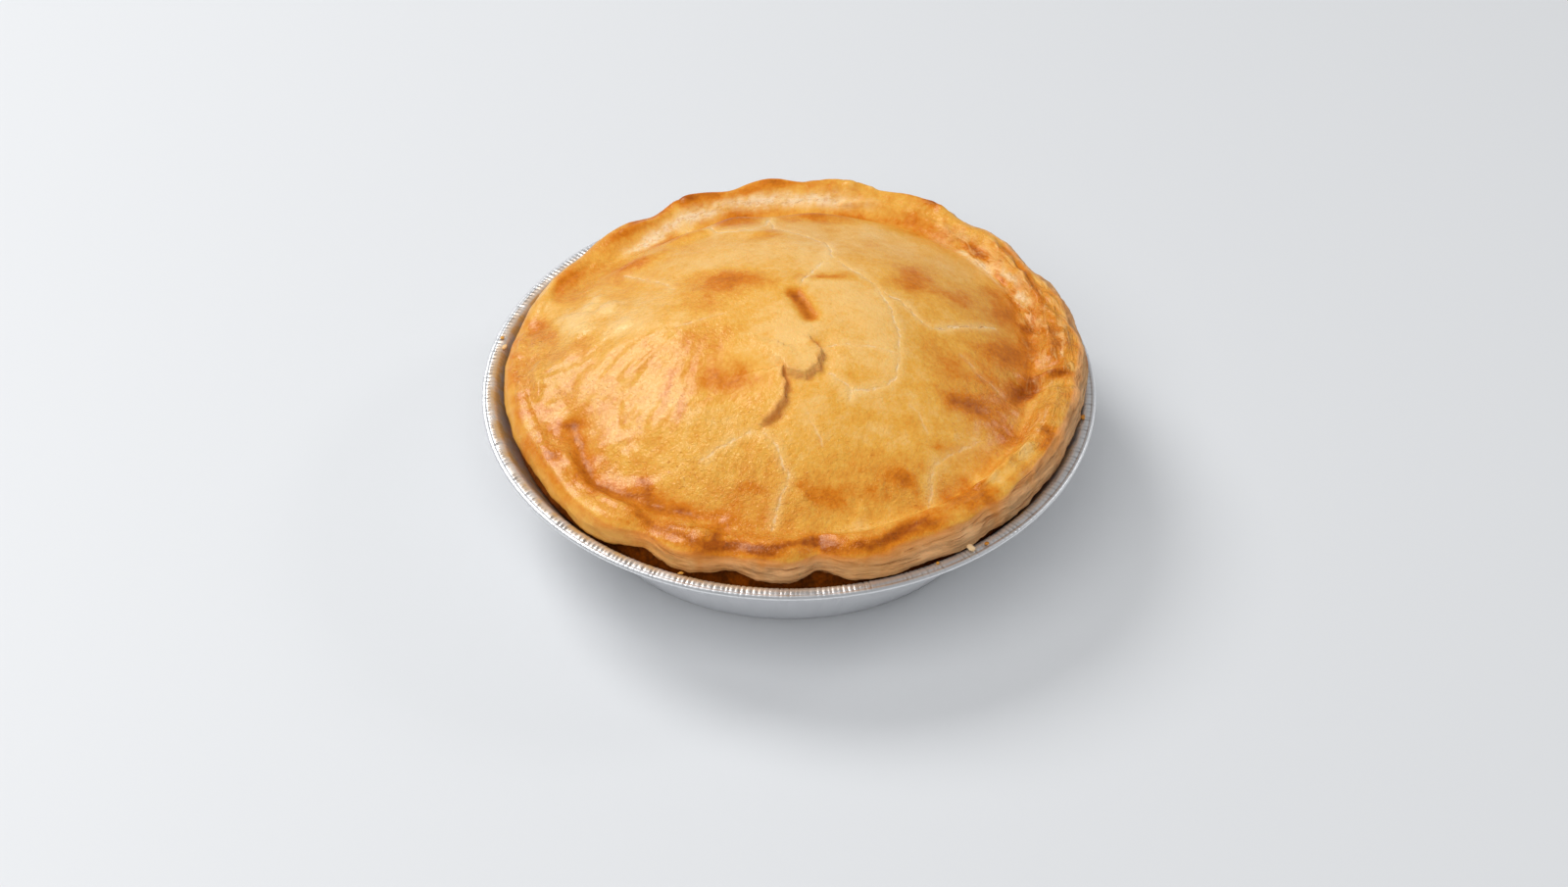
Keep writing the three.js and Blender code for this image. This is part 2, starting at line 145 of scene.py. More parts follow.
# Fine cracks, where the glaze has parted over pale dough: depth, how plain it is to see, points.
CRACKS = (
    (0.30, 0.50, ((7, -14), (10, -12.5), (14, -12), (20, -11.8), (25, -12.5))),
    (0.30, 0.60, ((8, -20.5), (11, -21.5), (14, -24.5), (13.4, -27.5))),
    (0.22, 0.65, ((14, -24.8), (18, -24.7), (21.5, -23), (24.5, -20), (25.3, -16), (25.6, -9),
                  (25, -3), (23.4, 4), (21, 10), (17.5, 14.5), (14, 17), (11.3, 21))),
    (0.25, 0.70, ((23, 8), (26, 6.6), (28, 4.6), (31, 1), (34, -0.6))),
    (0.45, 0.90, ((34, -0.5), (38, 1.5), (42, 4), (46, 6), (50, 8.2))),
    (0.20, 0.30, ((40, -6), (44, -11), (48, -14), (50.5, -16))),
    (0.15, 0.30, ((27, -26), (30, -28.5), (31.5, -33))),
    (0.25, 0.40, ((44, -30.5), (40, -34), (35, -37.5), (32.5, -41), (32, -46), (31, -50.5))),
    (0.30, 0.60, ((-6.5, -35.5), (-3.6, -38), (-2, -42), (0, -46.5), (-1.6, -50), (-3, -54), (-4, -58))),
    (0.25, 0.55, ((-7, -35.5), (-12, -37), (-16, -38.5), (-20, -41))),
    (0.20, 0.80, ((8.5, 20), (6, 15), (4, 11), (2.6, 8))),
    (0.20, 0.70, ((10.4, 22), (9.8, 27), (8.6, 33))),
    (0.22, 0.60, ((-40, 27), (-36, 23), (-32, 19), (-28.5, 14.5), (-27, 12))),
    (0.18, 0.45, ((-27, -3.5), (-21, -2.4), (-15, -0.5))),
    (0.35, 0.80, ((-25.7, 52), (-21, 46), (-17.5, 40.5), (-13, 38.5), (-9, 39), (-5.5, 44), (-4.5, 50))),
    (0.25, 0.70, ((-4.5, 48), (-3.5, 40), (1, 37), (6, 33.5), (8.6, 31))),
    (0.15, 0.35, ((4, -31), (6, -36), (8, -40))),
)

# Wrinkles of the glaze that fan out from the left of the top: height, half-width, points.
WRINKLES = (
    (0.10, 0.6, ((-26, -5), (-33, -8.5), (-39, -15))),
    (0.12, 0.6, ((-29, -2.5), (-37, -7), (-44, -14))),
    (0.10, 0.7, ((-33, 1), (-41, -5), (-47, -12))),
    (0.09, 0.6, ((-29, -8.5), (-34, -13), (-37.5, -20))),
    (0.10, 0.6, ((-36, 4.5), (-44, 0), (-51, -7))),
    (0.09, 0.6, ((-30, -12), (-33.5, -18), (-35, -25))),
    (0.10, 0.7, ((-24.5, -8), (-25, -16), (-24, -24))),
    (0.08, 0.7, ((-21, -13), (-21.5, -20), (-18, -27))),
)

# Blisters: x, y, radius, height.
BLISTERS = (
    (-51, 11, 4.2, 0.55), (-48, 16, 2.1, 0.40), (-43, 12.5, 2.6, 0.55), (-46, 18.5, 1.7, 0.40),
    (-50, 6, 2.8, 0.40), (-55, 14, 2.2, 0.30), (-39, 3, 2.8, 0.35), (15.5, 66.5, 1.9, 0.45),
    (21, 65.5, 1.2, 0.35), (11.5, 66, 1.3, 0.35), (57, -25.5, 1.3, 0.5), (60, -24, 1.0, 0.4),
    (16.5, -53, 1.6, 0.45), (15, -55.5, 1.2, 0.40), (13.5, -51, 1.0, 0.35), (3, -50.5, 1.5, 0.40),
    (-20, -59.5, 2.4, 0.40), (-22, -56, 1.6, 0.35), (61.5, 10, 1.4, 0.40), (61, 3, 1.3, 0.35),
    (63, -9, 1.2, 0.35), (62, -14, 1.1, 0.35), (20.5, -48.5, 1.2, 0.35), (37.5, -31.5, 1.0, 0.3),
)

# Browned (positive) and pale (negative) patches: x, y, half-length, half-width, turn, strength.
BROWNING = (
    (-12.5, 11.2, 12, 4.4, -12, 0.38), (-12, 13, 5, 1.6, -15, 0.10), (-19, 5, 8, 4.5, -5, 0.18),
    (-41, 34, 4.5, 3, -20, 0.12), (-12.5, 58, 5, 2.4, -12, 0.24), (-6, 33, 5, 2.6, 8, 0.22),
    (-4, 38, 2.4, 2.8, 0, 0.18), (-39, 22, 4, 5, 30, 0.08), (-53, 33, 2.4, 4.5, -48, 0.26),
    (-56, 28, 1.5, 4, 5, 0.22), (-53, 23, 3, 5, 15, 0.14), (-60, 14, 2.6, 3.2, 0, 0.20),
    (-58, 8.5, 2, 2.8, 0, 0.24), (-66.5, 6, 1.8, 13, 4, 0.14), (-64.3, -3, 1.3, 6.5, 0, 0.12),
    (-26.5, 62.0, 3.4, 1.6, 22, 0.40), (-20, 62.8, 6.5, 1.6, 12, 0.28), (-38, 53.5, 5.5, 1.7, 36, 0.30),
    (-43, 48, 4.5, 1.8, 40, 0.28), (-33, 57, 4, 1.4, 32, 0.24), (-4, 67.3, 5.5, 1.7, -2, 0.36),
    (-9, 65.3, 4, 1.2, 6, 0.24), (6, 67.5, 6, 1.2, -4, 0.12), (-48.5, 1, 3, 5, 10, 0.14),
    (16, 57.6, 7, 1.8, -8, 0.28), (27, 55, 6, 2, -22, 0.20), (28, 49, 4, 4, 0, 0.10),
    (35, 51, 6, 3.2, -36, 0.18), (41, 46.5, 5, 2.4, -42, 0.26), (46.5, 42.5, 4.5, 1.2, -48, 0.62),
    (51.5, 33.5, 4, 1.4, -62, 0.48), (55, 26, 4, 1.4, -70, 0.44), (31, 19.5, 7.5, 6, 79, 0.32),
    (28, 13, 5, 3.5, 0, 0.18), (41, 14, 5, 3.6, 20, 0.26), (53, 20, 4.5, 4, 30, 0.24),
    (52, 15, 4.5, 2.8, 35, 0.28), (57.5, 14, 2, 3.6, -35, 0.40), (50, 25, 3, 4, 0, 0.18),
    (57, 7, 2, 5, 5, 0.36), (54, 1, 5, 5, 0, 0.28), (36.5, 60.2, 3.2, 1.5, -60, 0.50),
    (34, 60.5, 3, 1.2, -40, 0.20), (53.5, 40.5, 4, 1.4, -45, 0.28), (58.3, 31, 1.1, 5, 12, 0.36),
    (60.2, 23, 1.0, 4.5, 14, 0.30), (63, 5, 2.2, 5.5, 0, 0.20), (61, 11, 1.4, 2.6, 20, 0.22),
    (-14.1, -21.8, 7.0, 4.6, -14, 0.33), (-15, -13, 8, 6, 0, 0.08), (-23, -12, 2.6, 6, 8, 0.10),
    (-20, -6, 5, 3.6, 0, 0.06), (-27.5, -20, 1.4, 6, -14, 0.26), (-25, -28, 1.1, 4.5, -14, 0.22),
    (-42.5, -34, 1.6, 4, 15, 0.18), (-47, -36, 1.9, 5.5, 8, 0.26), (-49, -26, 1.6, 5, 14, 0.20),
    (-43.5, -42, 3.6, 1.6, -42, 0.24), (-37, -45.5, 4, 1.4, -28, 0.24),
    (-30.5, -47.5, 3.6, 1.8, -40, 0.24), (-25, -51, 4, 1.3, -18, 0.26), (-18, -52.6, 5, 1.3, -8, 0.24),
    (-33.5, -43, 1.6, 3, 30, 0.26), (-54.5, -32, 2.6, 3, 20, 0.22), (-62.5, -17, 1.6, 6, 8, 0.14),
    (-60, -27, 2, 4, 20, 0.16), (-50.5, -22.5, 3.6, 1.6, -20, 0.24), (-63.5, -10, 1.6, 3.6, 0, 0.10),
    (-56, -16, 5, 1.2, 8, 0.20), (-34, -53, 3.4, 1.6, -30, 0.30), (-31, -55.5, 2.4, 1.4, -30, 0.26),
    (-27, -57.5, 3, 1.8, -20, 0.24), (-24, -60.5, 3.4, 1.3, -20, 0.30), (-15, -60, 1.5, 3.6, 0, 0.40),
    (-19, -64.2, 4, 0.8, -6, 0.30), (-9, -41.5, 4, 4, 0, 0.10), (-9, -48.5, 3.4, 2, 0, 0.24),
    (-14, -55, 4, 1.6, -8, 0.18), (5.5, -12, 1.7, 1.8, 0, 0.24), (36, -12, 5.5, 5.5, 0, 0.18),
    (43.5, -21.8, 7.5, 3.6, 14, 0.34), (38, -21.5, 5, 2.6, -10, 0.22), (50, -26, 4, 3, 0, 0.34),
    (49, -3, 5, 5, 0, 0.22), (43.5, -2, 4, 4, 0, 0.06), (47.5, -13, 3.6, 3.4, 0, 0.24),
    (56.6, -7.6, 3.2, 2.2, 80, 0.52), (54.8, -10, 1.9, 3.2, -22, 0.50),
    (53.3, -13.2, 4.6, 1.9, 63, 0.36), (63, -5.2, 4, 1.0, -4, 0.46), (60, -27.5, 2.4, 1.7, 30, 0.36),
    (58, -31.5, 1.6, 2.4, -30, 0.24), (15, -20.5, 4.6, 2.6, 0, 0.14), (6, -26, 4, 2, 0, 0.12),
    (27.5, -31, 4.6, 2.8, 0, 0.16), (16.5, -31.5, 4, 2, 0, 0.12), (35.5, -34.7, 3, 1.2, 8, 0.18),
    (25.5, -45, 4, 2.4, -10, 0.34), (20, -49, 3.6, 2, 0, 0.18), (9, -50.5, 4.6, 2.4, 0, 0.26),
    (4.5, -49.5, 2.4, 1.6, 0, 0.18), (11, -53, 3, 1.4, 10, 0.16), (42, -46.5, 4.6, 3, -42, 0.30),
    (37, -50.5, 4.6, 2.6, -38, 0.28), (45.5, -50, 2.2, 1.6, -45, 0.36), (31, -54.5, 4, 2, -20, 0.20),
    (6.2, -62.6, 3.0, 1.2, 0, 0.20), (26, -59.5, 4, 1.3, 38, 0.22), (54, -40, 3, 1.4, -45, 0.10),
    (-26.5, 43.0, 6.5, 4.4, 12, 0.36), (-13.5, 48.0, 7, 6.0, 0, 0.38), (-17, 49, 3.5, 4, 0, 0.12),
    (7.4, 51.8, 9, 5.0, 0, 0.36), (-36, 31, 7.5, 3.0, 17, 0.24), (-4.5, 47, 1.5, 6, 0, -0.16),
    (-20.5, 43, 5, 1.3, -48, -0.18), (-15.5, 53, 6, 2.2, 5, 0.26), (6, 56, 8, 2.2, 0, 0.24),
    (-28, 47, 5, 2, 25, 0.26), (8.5, 12.5, 5.5, 1.5, 15, 0.42), (58, 18, 1.3, 4, 15, 0.42),
    (-34, -60, 5, 2.4, -30, 0.14), (-51, 11, 4.4, 4.4, 0, -0.24), (-48, 16, 2.1, 2.6, 0, -0.22),
    (-43, 12.5, 2.3, 3.2, 0, -0.24), (-46, 18.5, 1.7, 2.2, 0, -0.20), (-49.5, 6, 3.6, 3, 0, -0.20),
    (-39.5, 2.5, 4.4, 3.4, 0, -0.20), (-26, 54, 2.6, 5, 20, -0.26), (9.2, 24, 1.8, 6, -6, -0.24),
    (3, 62.4, 4, 1.6, 0, -0.22), (14, 5, 9, 8, 0, -0.10), (2, -10, 10, 16, 15, -0.12),
    (20, -8, 7, 12, 0, -0.08), (46, -41.5, 4.6, 2.6, -38, -0.22), (53, -35, 2.2, 5, -35, -0.24),
    (16, -57.2, 7, 1.6, 10, -0.16), (29, -51.6, 6, 1.3, 20, -0.14), (36, -41.5, 5, 4.4, -30, -0.10),
    (32, -47, 1.8, 4.6, -6, -0.20), (-58, 22, 3.6, 5, 10, -0.16), (-60, 30, 3, 7, -25, -0.14),
    (14, -26.5, 4, 3, 0, -0.06), (28, 36, 4, 8, -12, -0.10), (20, 44, 4, 7, 0, -0.10),
    (0, 26, 7, 5, 0, -0.10), (43, 31, 6, 4, 30, -0.06), (-20, 22, 8, 5, 0, -0.08),
    (-33, 8, 8, 5, 10, -0.08),
)

# Where the egg wash shines most: x, y, half-length, half-width, turn, strength.
GLAZED = (
    (-34, -24, 30, 20, -40, 0.75), (-14, -45, 22, 12, -15, 0.65), (-58, -12, 8, 24, 10, 0.65),
    (-50, 10, 14, 14, 0, 0.45), (-22, 10, 16, 12, 0, 0.25), (-45, -38, 16, 8, -45, 0.6),
    (-5, -61, 34, 5, 0, 0.7), (22, -46, 22, 9, -15, 0.45), (54, -18, 8, 16, 15, 0.55),
    (44, -24, 10, 8, 0, 0.35), (-13, -20, 9, 7, -14, -1.0), (62, 5, 4, 14, 5, 0.45),
    (-40, 42, 14, 8, 40, 0.25), (10, -20, 20, 16, 0, 0.15),
)

# Broad warmth of the bake under the smaller patches: x, y, half-length, half-width, turn, strength.
WARMTH = (
    (-42, -26, 26, 18, -50, 0.09), (-60, 0, 9, 34, 5, 0.05), (-34, -50, 26, 8, -32, 0.08),
    (-10, -56, 26, 9, -6, 0.10), (-44, 34, 22, 9, 42, 0.08), (-12, 60, 30, 5, 4, 0.06),
    (44, -14, 15, 20, 10, 0.08), (50, 14, 10, 20, 10, 0.08), (24, -44, 26, 8, 20, 0.07),
    (38, -46, 20, 5, 42, 0.10), (0, -64, 30, 4, 0, 0.08), (64, 0, 4, 40, 0, 0.06),
    (-63, -18, 5, 22, 15, -0.07), (-46, -48, 14, 5, -42, -0.06), (-17, -8, 9, 8, 0, 0.07),
    (8, -45, 22, 9, 0, 0.05), (6, 8, 20, 14, 0, -0.05), (6, -28, 14, 18, 0, -0.04),
    (0, 30, 22, 12, 0, -0.02),
)

# Where the glaze has dried crinkled: x, y, half-length, half-width, turn, strength.
CRINKLES = (
    (-12, -46, 11, 8, -20, 1.0), (2, -53, 6, 4.5, 0, 1.0), (50, -27, 6, 4.5, 30, 0.9),
    (62, -13, 3.5, 8, -10, 0.9), (-35, -53, 6, 3, -30, 0.9), (-57, -6, 5, 8, 0, 0.8),
    (-59, -26, 4, 8, 20, 0.8), (-50, -8, 8, 6, 0, 0.6), (-50, 28, 5, 7, 0, 0.5),
    (-4, -65, 7, 2.5, -6, 1.0), (15, -63, 7, 3, 0, 0.9), (24, -47, 8, 4, 0, 0.8),
    (46, 47, 6, 3, -45, 0.9), (-22, -59, 6, 3, -10, 0.8), (-50, -30, 3, 5, 10, 0.5),
    (44, -16, 6, 5, 0, 0.5), (57, 14, 3, 5, 0, 0.6), (62, 6, 2.5, 6, 0, 0.7), (-18, -32, 3, 8, 20, 0.5),
    (-45, 50, 5, 3, 40, 0.8),
)

# The valley inside the left roll, brown and in its shade.
VALLEY = (
    (-50, -22), (-47.5, -30), (-46.5, -37), (-42.5, -42.5), (-36, -46), (-30, -48.5), (-24, -51),
)

# The wavy line of the front crest that has baked darkest.
DARK_CREST = (
    (-24, -60), (-19, -62.5), (-14.1, -61.9), (-9.7, -64.1), (-5.4, -66.2), (-1.1, -64.3), (3.2, -62.4),
    (6.4, -61.6), (9.6, -63.4), (12.8, -64.4), (17.1, -64.2), (21.5, -61.6), (27.1, -58.0),
    (31.4, -57.4), (36, -55),
)

CRACK_REACH = 3.0          # distances to a crack are kept up to here
FAN_CENTRE = (-17.0, 4.0)  # where the wrinkles of the glaze fan out from
FAN_REACH = (26.0, 15.0)   # how far out the fan lies, and its half-width
FAN_TURN = (48.0, 42.0)    # which way it lies, in degrees from the left, and its half-width
PRESS_CREST_DROP = 0.55    # a press lowers the crest by this share of its depth,
PRESS_CREST_BITE = 0.25    # pushes it in by this share more than the edge below
PRESS_EDGE_LIFT = 0.40     # and lifts the edge's foot by this share
FOOT_ROUNDING = 0.2        # the foot of the edge turns in by this,
FOOT_DROP = 0.18           # this far down
LIP_RADIUS = 69.0          # the pastry's underside clears the rim's flange out from here
LIP_WIDTH = 0.8            # the lip, measured across, where nothing else limits it
LIP_DROP = 0.25            # its inner side lies lower than the foot by this
TUCK = 1.5                 # how far the underside draws in behind the wall's contact line
TUCK_DROP = 1.3            # this far below the foot
CONTACT_DEPTH = 5.2        # below the rim, where the pastry first meets the pan's wall
FOIL_GAP = 0.7             # foil and clearance under the pastry
WALL_GAP = 0.78            # the same, measured level at the sloping wall
BASE_RADIUS = 52.5
BASE_CORNER = 1.6
WALL_TOP_RADIUS = 69.8
WALL_TOP_DEPTH = 0.6
WALL_SLOPE = (WALL_TOP_RADIUS - BASE_RADIUS) / (PAN_HEIGHT - WALL_TOP_DEPTH - BASE_CORNER)

# How far a split reaches across, in millimetres.
SPLIT_LIFT_REACH = 8.0     # on the side that has lifted
SPLIT_DROP_REACH = 3.0     # on the side that has sunk
SPLIT_DROP_SHARE = 0.6     # the sunk side goes down by this share of the lift
SPLIT_END_FADE = 4.0
VENT_HALF_WIDTH = 2.0

# Where round the pie something is strongest, and its half-width, in degrees.
ROUGH_EDGE = (5.0, 48.0)
LOW_GLAZE = (272.0, 45.0)  # the egg wash has run further down the side
HIGH_GLAZE = (28.0, 42.0)  # the egg wash stops short
LAYERED_FRONT = (270.0, 36.0)
BROWN_SIDE = (275.0, 58.0)
BROWN_CREST = (283.0, 46.0)
LOW_CREST = (285.0, 38.0)  # the crest's brown line lies further over the edge
GREASY_BEAD = (212.0, 66.0)
GREASY_WALL = (200.0, 58.0)
DARK_LINE_LEFT = (190.0, 70.0)
DARK_LINE_RIGHT = (345.0, 50.0)

# Where the groove's dough has stayed raw: both ends of the stretch and how far each takes to fade.
RAW_BACK = (66.0, 18.0, 137.0, 10.0)
RAW_RIGHT = (8.0, 12.0, 57.0, 12.0)

EVEN_BAKE = 0.41           # browning where nothing else acts
BROWNING_SHARE = 0.95      # how far the patches of browning are taken up
DARK_KNEE = 0.64           # browning past here is held back
DARK_SHARE = 0.65          # to this share
DARK_LIMIT = 0.86          # and goes no further than this
JUICE_AND_SHADE_BAKE = 0.95          # juice baked on to the underside, and painted shade in the pocket under the edge

# What each form of the lid adds to its browning.
FORM_BAKE = {"vent": 0.52, "split_lip": 0.14, "split_low": 0.12, "blister": -0.08, "on_rim": 0.07}
# Unevenness of the browning: strength, size, seed, number of sizes.
UNEVEN_BAKE = ((0.06, 11.0, 105, 3), (0.05, 3.4, 108, 3), (0.04, 1.3, 109, 2))


def around(values, angle):
    """Read values spaced evenly round the pie, passing smoothly from each to the next."""
    values = np.asarray(values, float)
    count = len(values)
    place = np.mod(angle, 360.0) / (360.0 / count)
    first = np.floor(place).astype(int)
    t = place - first
    before, start, end, after = (values[(first + k) % count] for k in (-1, 0, 1, 2))
    leave, arrive = 0.5 * (end - before), 0.5 * (after - start)
    cubic = (2 * start - 2 * end + leave + arrive) * t
    return ((cubic - 3 * start + 3 * end - 2 * leave - arrive) * t + leave) * t + start


def bell(distance, width):
    return np.exp(-np.square(distance / width))


def ease(t):
    t = np.clip(t, 0.0, 1.0)
    return t * t * (3.0 - 2.0 * t)


def blend_knots(along, knots, values):
    """Pass straight from each of a row of values (numbers or arrays) to the next."""
    result = values[0] + 0.0 * along
    for (k0, v0), (k1, v1) in zip(zip(knots, values), zip(knots[1:], values[1:])):
        result = np.where(along > k0, v0 + (v1 - v0) * (along - k0) / (k1 - k0), result)
    return result


def turned(from_angle, to_angle):
    return np.mod(to_angle - from_angle + 540.0, 360.0) - 180.0


def facing(angle, place):
    """1 at a place round the pie, dying away to both sides of it."""
    return bell(turned(place[0], angle), place[1])


def wall_outside(z):
    return BASE_RADIUS + (z - BASE_CORNER) * WALL_SLOPE


GRAIN_HEIGHTS = 4096       # random heights that the noise draws on
GRAIN_SHIFT = 512.0        # steps that keep every place above zero
GRAIN_STEP = 2654435761    # large odd number that scatters the draws


def grain(x, y, z, size, seed):
    """Smooth noise from -1 to 1 at any place, with bumps of the given size. Same result each run."""
    rng = np.random.default_rng(seed)
    heights = rng.uniform(-1.0, 1.0, GRAIN_HEIGHTS)
    mix = rng.integers(1, GRAIN_HEIGHTS, 3) * 2 + 1
    px, py, pz = (np.asarray(v, float) / size + GRAIN_SHIFT for v in (x, y, z))
    ix, iy, iz = (np.floor(v).astype(np.int64) for v in (px, py, pz))
    fx, fy, fz = ease(px - ix), ease(py - iy), ease(pz - iz)

    def corner(dx, dy, dz):
        key = (ix + dx) * mix[0] ^ (iy + dy) * mix[1] ^ (iz + dz) * mix[2]
        key = (key ^ (key >> 7)) * GRAIN_STEP
        return heights[(key >> 9) & (GRAIN_HEIGHTS - 1)]

    total = 0.0
    for dx in (0, 1):
        for dy in (0, 1):
            for dz in (0, 1):
                share = (fx if dx else 1 - fx) * (fy if dy else 1 - fy) * (fz if dz else 1 - fz)
                total = total + share * corner(dx, dy, dz)
    return total


def rough(x, y, z, size, seed, octaves=3):
    """Noise at several sizes, each half the one before."""
    total, weight = 0.0, 0.0
    for k in range(octaves):
        total = total + grain(x, y, z, size / 2 ** k, seed + k) / 2 ** k
        weight += 1 / 2 ** k
    return total / weight


def near_line(points, x, y):
    """Distance to a line of points, the side (+1 is left), the way along it and its whole length."""
    best = np.full(np.shape(x), np.inf)
    side = np.ones(np.shape(x))
    along = np.zeros(np.shape(x))
    walked = 0.0
    for (ax, ay), (bx, by) in zip(points, points[1:]):
        dx, dy = bx - ax, by - ay
        length = math.hypot(dx, dy)
        t = np.clip(((x - ax) * dx + (y - ay) * dy) / length ** 2, 0.0, 1.0)
        distance = np.hypot(x - ax - t * dx, y - ay - t * dy)
        closer = distance < best
        best = np.where(closer, distance, best)
        side = np.where(closer, np.where(dx * (y - ay) - dy * (x - ax) < 0, -1.0, 1.0), side)
        along = np.where(closer, walked + t * length, along)
        walked += length
    return best, side, along, walked


def fading(along, whole, reach, start=0.0):
    """Rise from both ends of a line, over the given reach."""
    return ease(np.minimum(along, whole - along) / reach + start)


def strongest_line(lines, x, y, ends=None):
    """Relief of (height, half-width, points) lines, the strongest at each place."""
    relief = np.zeros(np.shape(x))
    for rise, width, points in lines:
        distance, _, along, whole = near_line(points, x, y)
        line = rise * bell(distance, width)
        relief = np.maximum(relief, line * fading(along, whole, *ends) if ends else line)
    return relief


def wander(x, y, moves, seed):
    """Shift places about by (reach, size) moves, so that what is drawn there runs unevenly."""
    shifted = []
    for place in (x, y):
        for reach, size in moves:
            place = place + reach * grain(x, y, 0, size, seed)
            seed += 1
        shifted.append(place)
    return shifted


def patches(ellipses, x, y):
    """Sum of soft ellipses."""
    total = np.zeros(np.shape(x))
    for px, py, half_length, half_width, turn, strength in ellipses:
        c, s = math.cos(math.radians(turn)), math.sin(math.radians(turn))
        u = (x - px) * c + (y - py) * s
        v = (y - py) * c - (x - px) * s
        total += strength * np.exp(-np.square(u / half_length) - np.square(v / half_width))
    return total


def edge_at(angle):
    """The edge's sizes in each direction."""
    press = sum(depth * bell(turned(at, angle), width) for at, depth, width in THUMB_PRESSES)
    edge = around(EDGE_RADIUS, angle) - press
    return {
        "edge_radius": edge,
        "edge_height": PAN_HEIGHT + around(EDGE_RISE, angle) + PRESS_EDGE_LIFT * press,
        "round": around(SHOULDER_ROUND, angle),
        "crest_radius": edge - around(SHOULDER_RUN, angle) - PRESS_CREST_BITE * press,
        "crest_height": PAN_HEIGHT + around(CREST_RISE, angle) - PRESS_CREST_DROP * press,
        "groove_radius": around(GROOVE_RADIUS, angle),
        "groove_height": PAN_HEIGHT + around(GROOVE_RISE, angle),
        "dome_power": around(DOME_POWER, angle),
        "crease": around(SOFT_CREASE, angle),
    }


def lid_height(x, y, radius, edge, sizes):
    """The plain upper face: dome, groove and rise to the crest, with its broad swells."""
    share = radius / edge["groove_radius"]
    lean = sizes.lean * (y / edge["groove_radius"]) * (1 - np.minimum(share, 1.0) ** 2)
    top = PAN_HEIGHT + sizes.dome_rise / MM
    dome = edge["groove_height"] + (top - edge["groove_height"]) * (1 - share ** edge["dome_power"]) + lean
    width = edge["crest_radius"] - edge["groove_radius"]
    climb = ease((radius - edge["groove_radius"]) / width)
    rim = edge["groove_height"] + (edge["crest_height"] - edge["groove_height"]) * climb
    soft = edge["crease"]
    h = np.clip(0.5 + 0.5 * (dome - rim) / soft, 0.0, 1.0)
    height = rim + (dome - rim) * h + soft * h * (1 - h)
    for sx, sy, rise, reach in SWELLS:
        height = height + rise * bell(np.hypot(x - sx, y - sy), reach)
    return height


def split_relief(x, y, sizes):
    """The left side of the split stands up over the right, with a ragged lip between them."""
    wx = x + 0.5 * grain(x, y, 0, 1.6, 71) + 0.3 * grain(x, y, 0, 0.8, 72)
    wy = y + 0.5 * grain(x, y, 0, 1.6, 73)
    distance, side, along, whole = near_line(SPLIT_LINE, wx, wy)
    fade = fading(along, whole, SPLIT_END_FADE)
    lift = sizes.split_lift / MM * bell(distance, SPLIT_LIFT_REACH)
    drop = -SPLIT_DROP_SHARE * sizes.split_lift / MM * bell(distance, SPLIT_DROP_REACH)
    over = ease(0.5 - 0.5 * side * distance / 0.3)
    lip, low = fade * bell(distance, 1.0), fade * (1 - over) * bell(distance, 2.2)
    return fade * (drop + (lift - drop) * over), lip, low


# =================================================================================================
# Add-on settings
# =================================================================================================


def length(name, description, default):
    return FloatProperty(name=name, description=description, default=default, min=0.0,
                         subtype="DISTANCE", unit="LENGTH")


def colour(name, description, default):
    return FloatVectorProperty(name=name, description=description, default=default, size=3,
                               min=0.0, max=1.0, subtype="COLOR")


class PotPieCrustSettings(bpy.types.PropertyGroup):
    """Sizes and colours of the crust."""
    dome_rise: length("Dome rise", "Top of the lid above the pan's rim", 22.8 * MM)
    lean: FloatProperty(name="Lean", description="How far back the top of the lid leans", default=0.9)
    split_lift: length("Split lift", "How far one side of the split stands over the other", 0.95 * MM)
    vent_depth: length("Vent depth", "Depth of the steam vent", 0.7 * MM)
    segments: IntProperty(name="Segments", description="Steps round the crust", default=680, min=90)
    pale: colour("Pale dough", "Dough that the oven has hardly coloured", (0.88, 0.58, 0.23))
    floury: colour("Floury", "Bare dough in the cracks and the groove", (0.86, 0.65, 0.40))
    golden: colour("Golden", "Evenly baked crust", (0.75, 0.37, 0.055))
    amber: colour("Amber", "Well browned crust", (0.62, 0.187, 0.008))
    brown: colour("Brown", "Dark edges and spots", (0.34, 0.074, 0.002))
    burnt: colour("Burnt", "Darkest spots", (0.11, 0.024, 0.002))
    side: colour("Side", "Unglazed side of the edge", (0.69, 0.395, 0.185))


class PotPiePanSettings(bpy.types.PropertyGroup):
    """Sizes and colours of the foil pan."""
    crimps: IntProperty(name="Crimps", description="Crimps round the rim's bead", default=372, min=24)
    crimp_depth: length("Crimp depth", "Depth of each crimp in the rim's bead", 0.36 * MM)
    pleat_depth: length("Pleat depth", "Depth of the pleats at the top of the wall", 0.20 * MM)
    foil_thickness: length("Foil thickness", "Thickness of the foil", 0.2 * MM)
    foil: colour("Foil", "Bare foil", (0.93, 0.935, 0.95))
    grease: colour("Grease", "Baked-on butter on the rim and the inner wall", (0.56, 0.33, 0.13))


class PotPieStageSettings(bpy.types.PropertyGroup):
    """Floor, light and camera."""
    floor: colour("Floor", "Plain pale floor", (0.67, 0.68, 0.695))
    key_power: FloatProperty(name="Key power", description="Power of the large soft light", default=7.9,
                             subtype="POWER", unit="POWER")
    front_power: FloatProperty(name="Front power", description="Power of the soft light from the front",
                               default=16.6, subtype="POWER", unit="POWER")
    side_power: FloatProperty(name="Side power", description="Power of the small light from the right",
                              default=1.3, subtype="POWER", unit="POWER")
    room: FloatProperty(name="Room", description="Strength of the light from all round", default=0.34)


# =================================================================================================
# Modelling helpers
# =================================================================================================


def deselect_all():
    if bpy.context.mode != "OBJECT":
        bpy.ops.object.mode_set(mode="OBJECT")
    bpy.ops.object.select_all(action="DESELECT")


def select_only(obj):
    deselect_all()
    bpy.context.view_layer.objects.active = obj
    obj.select_set(True)


def edit(obj):
    select_only(obj)
    bpy.ops.object.mode_set(mode="EDIT")


def finish_edit():
    bpy.ops.object.mode_set(mode="OBJECT")


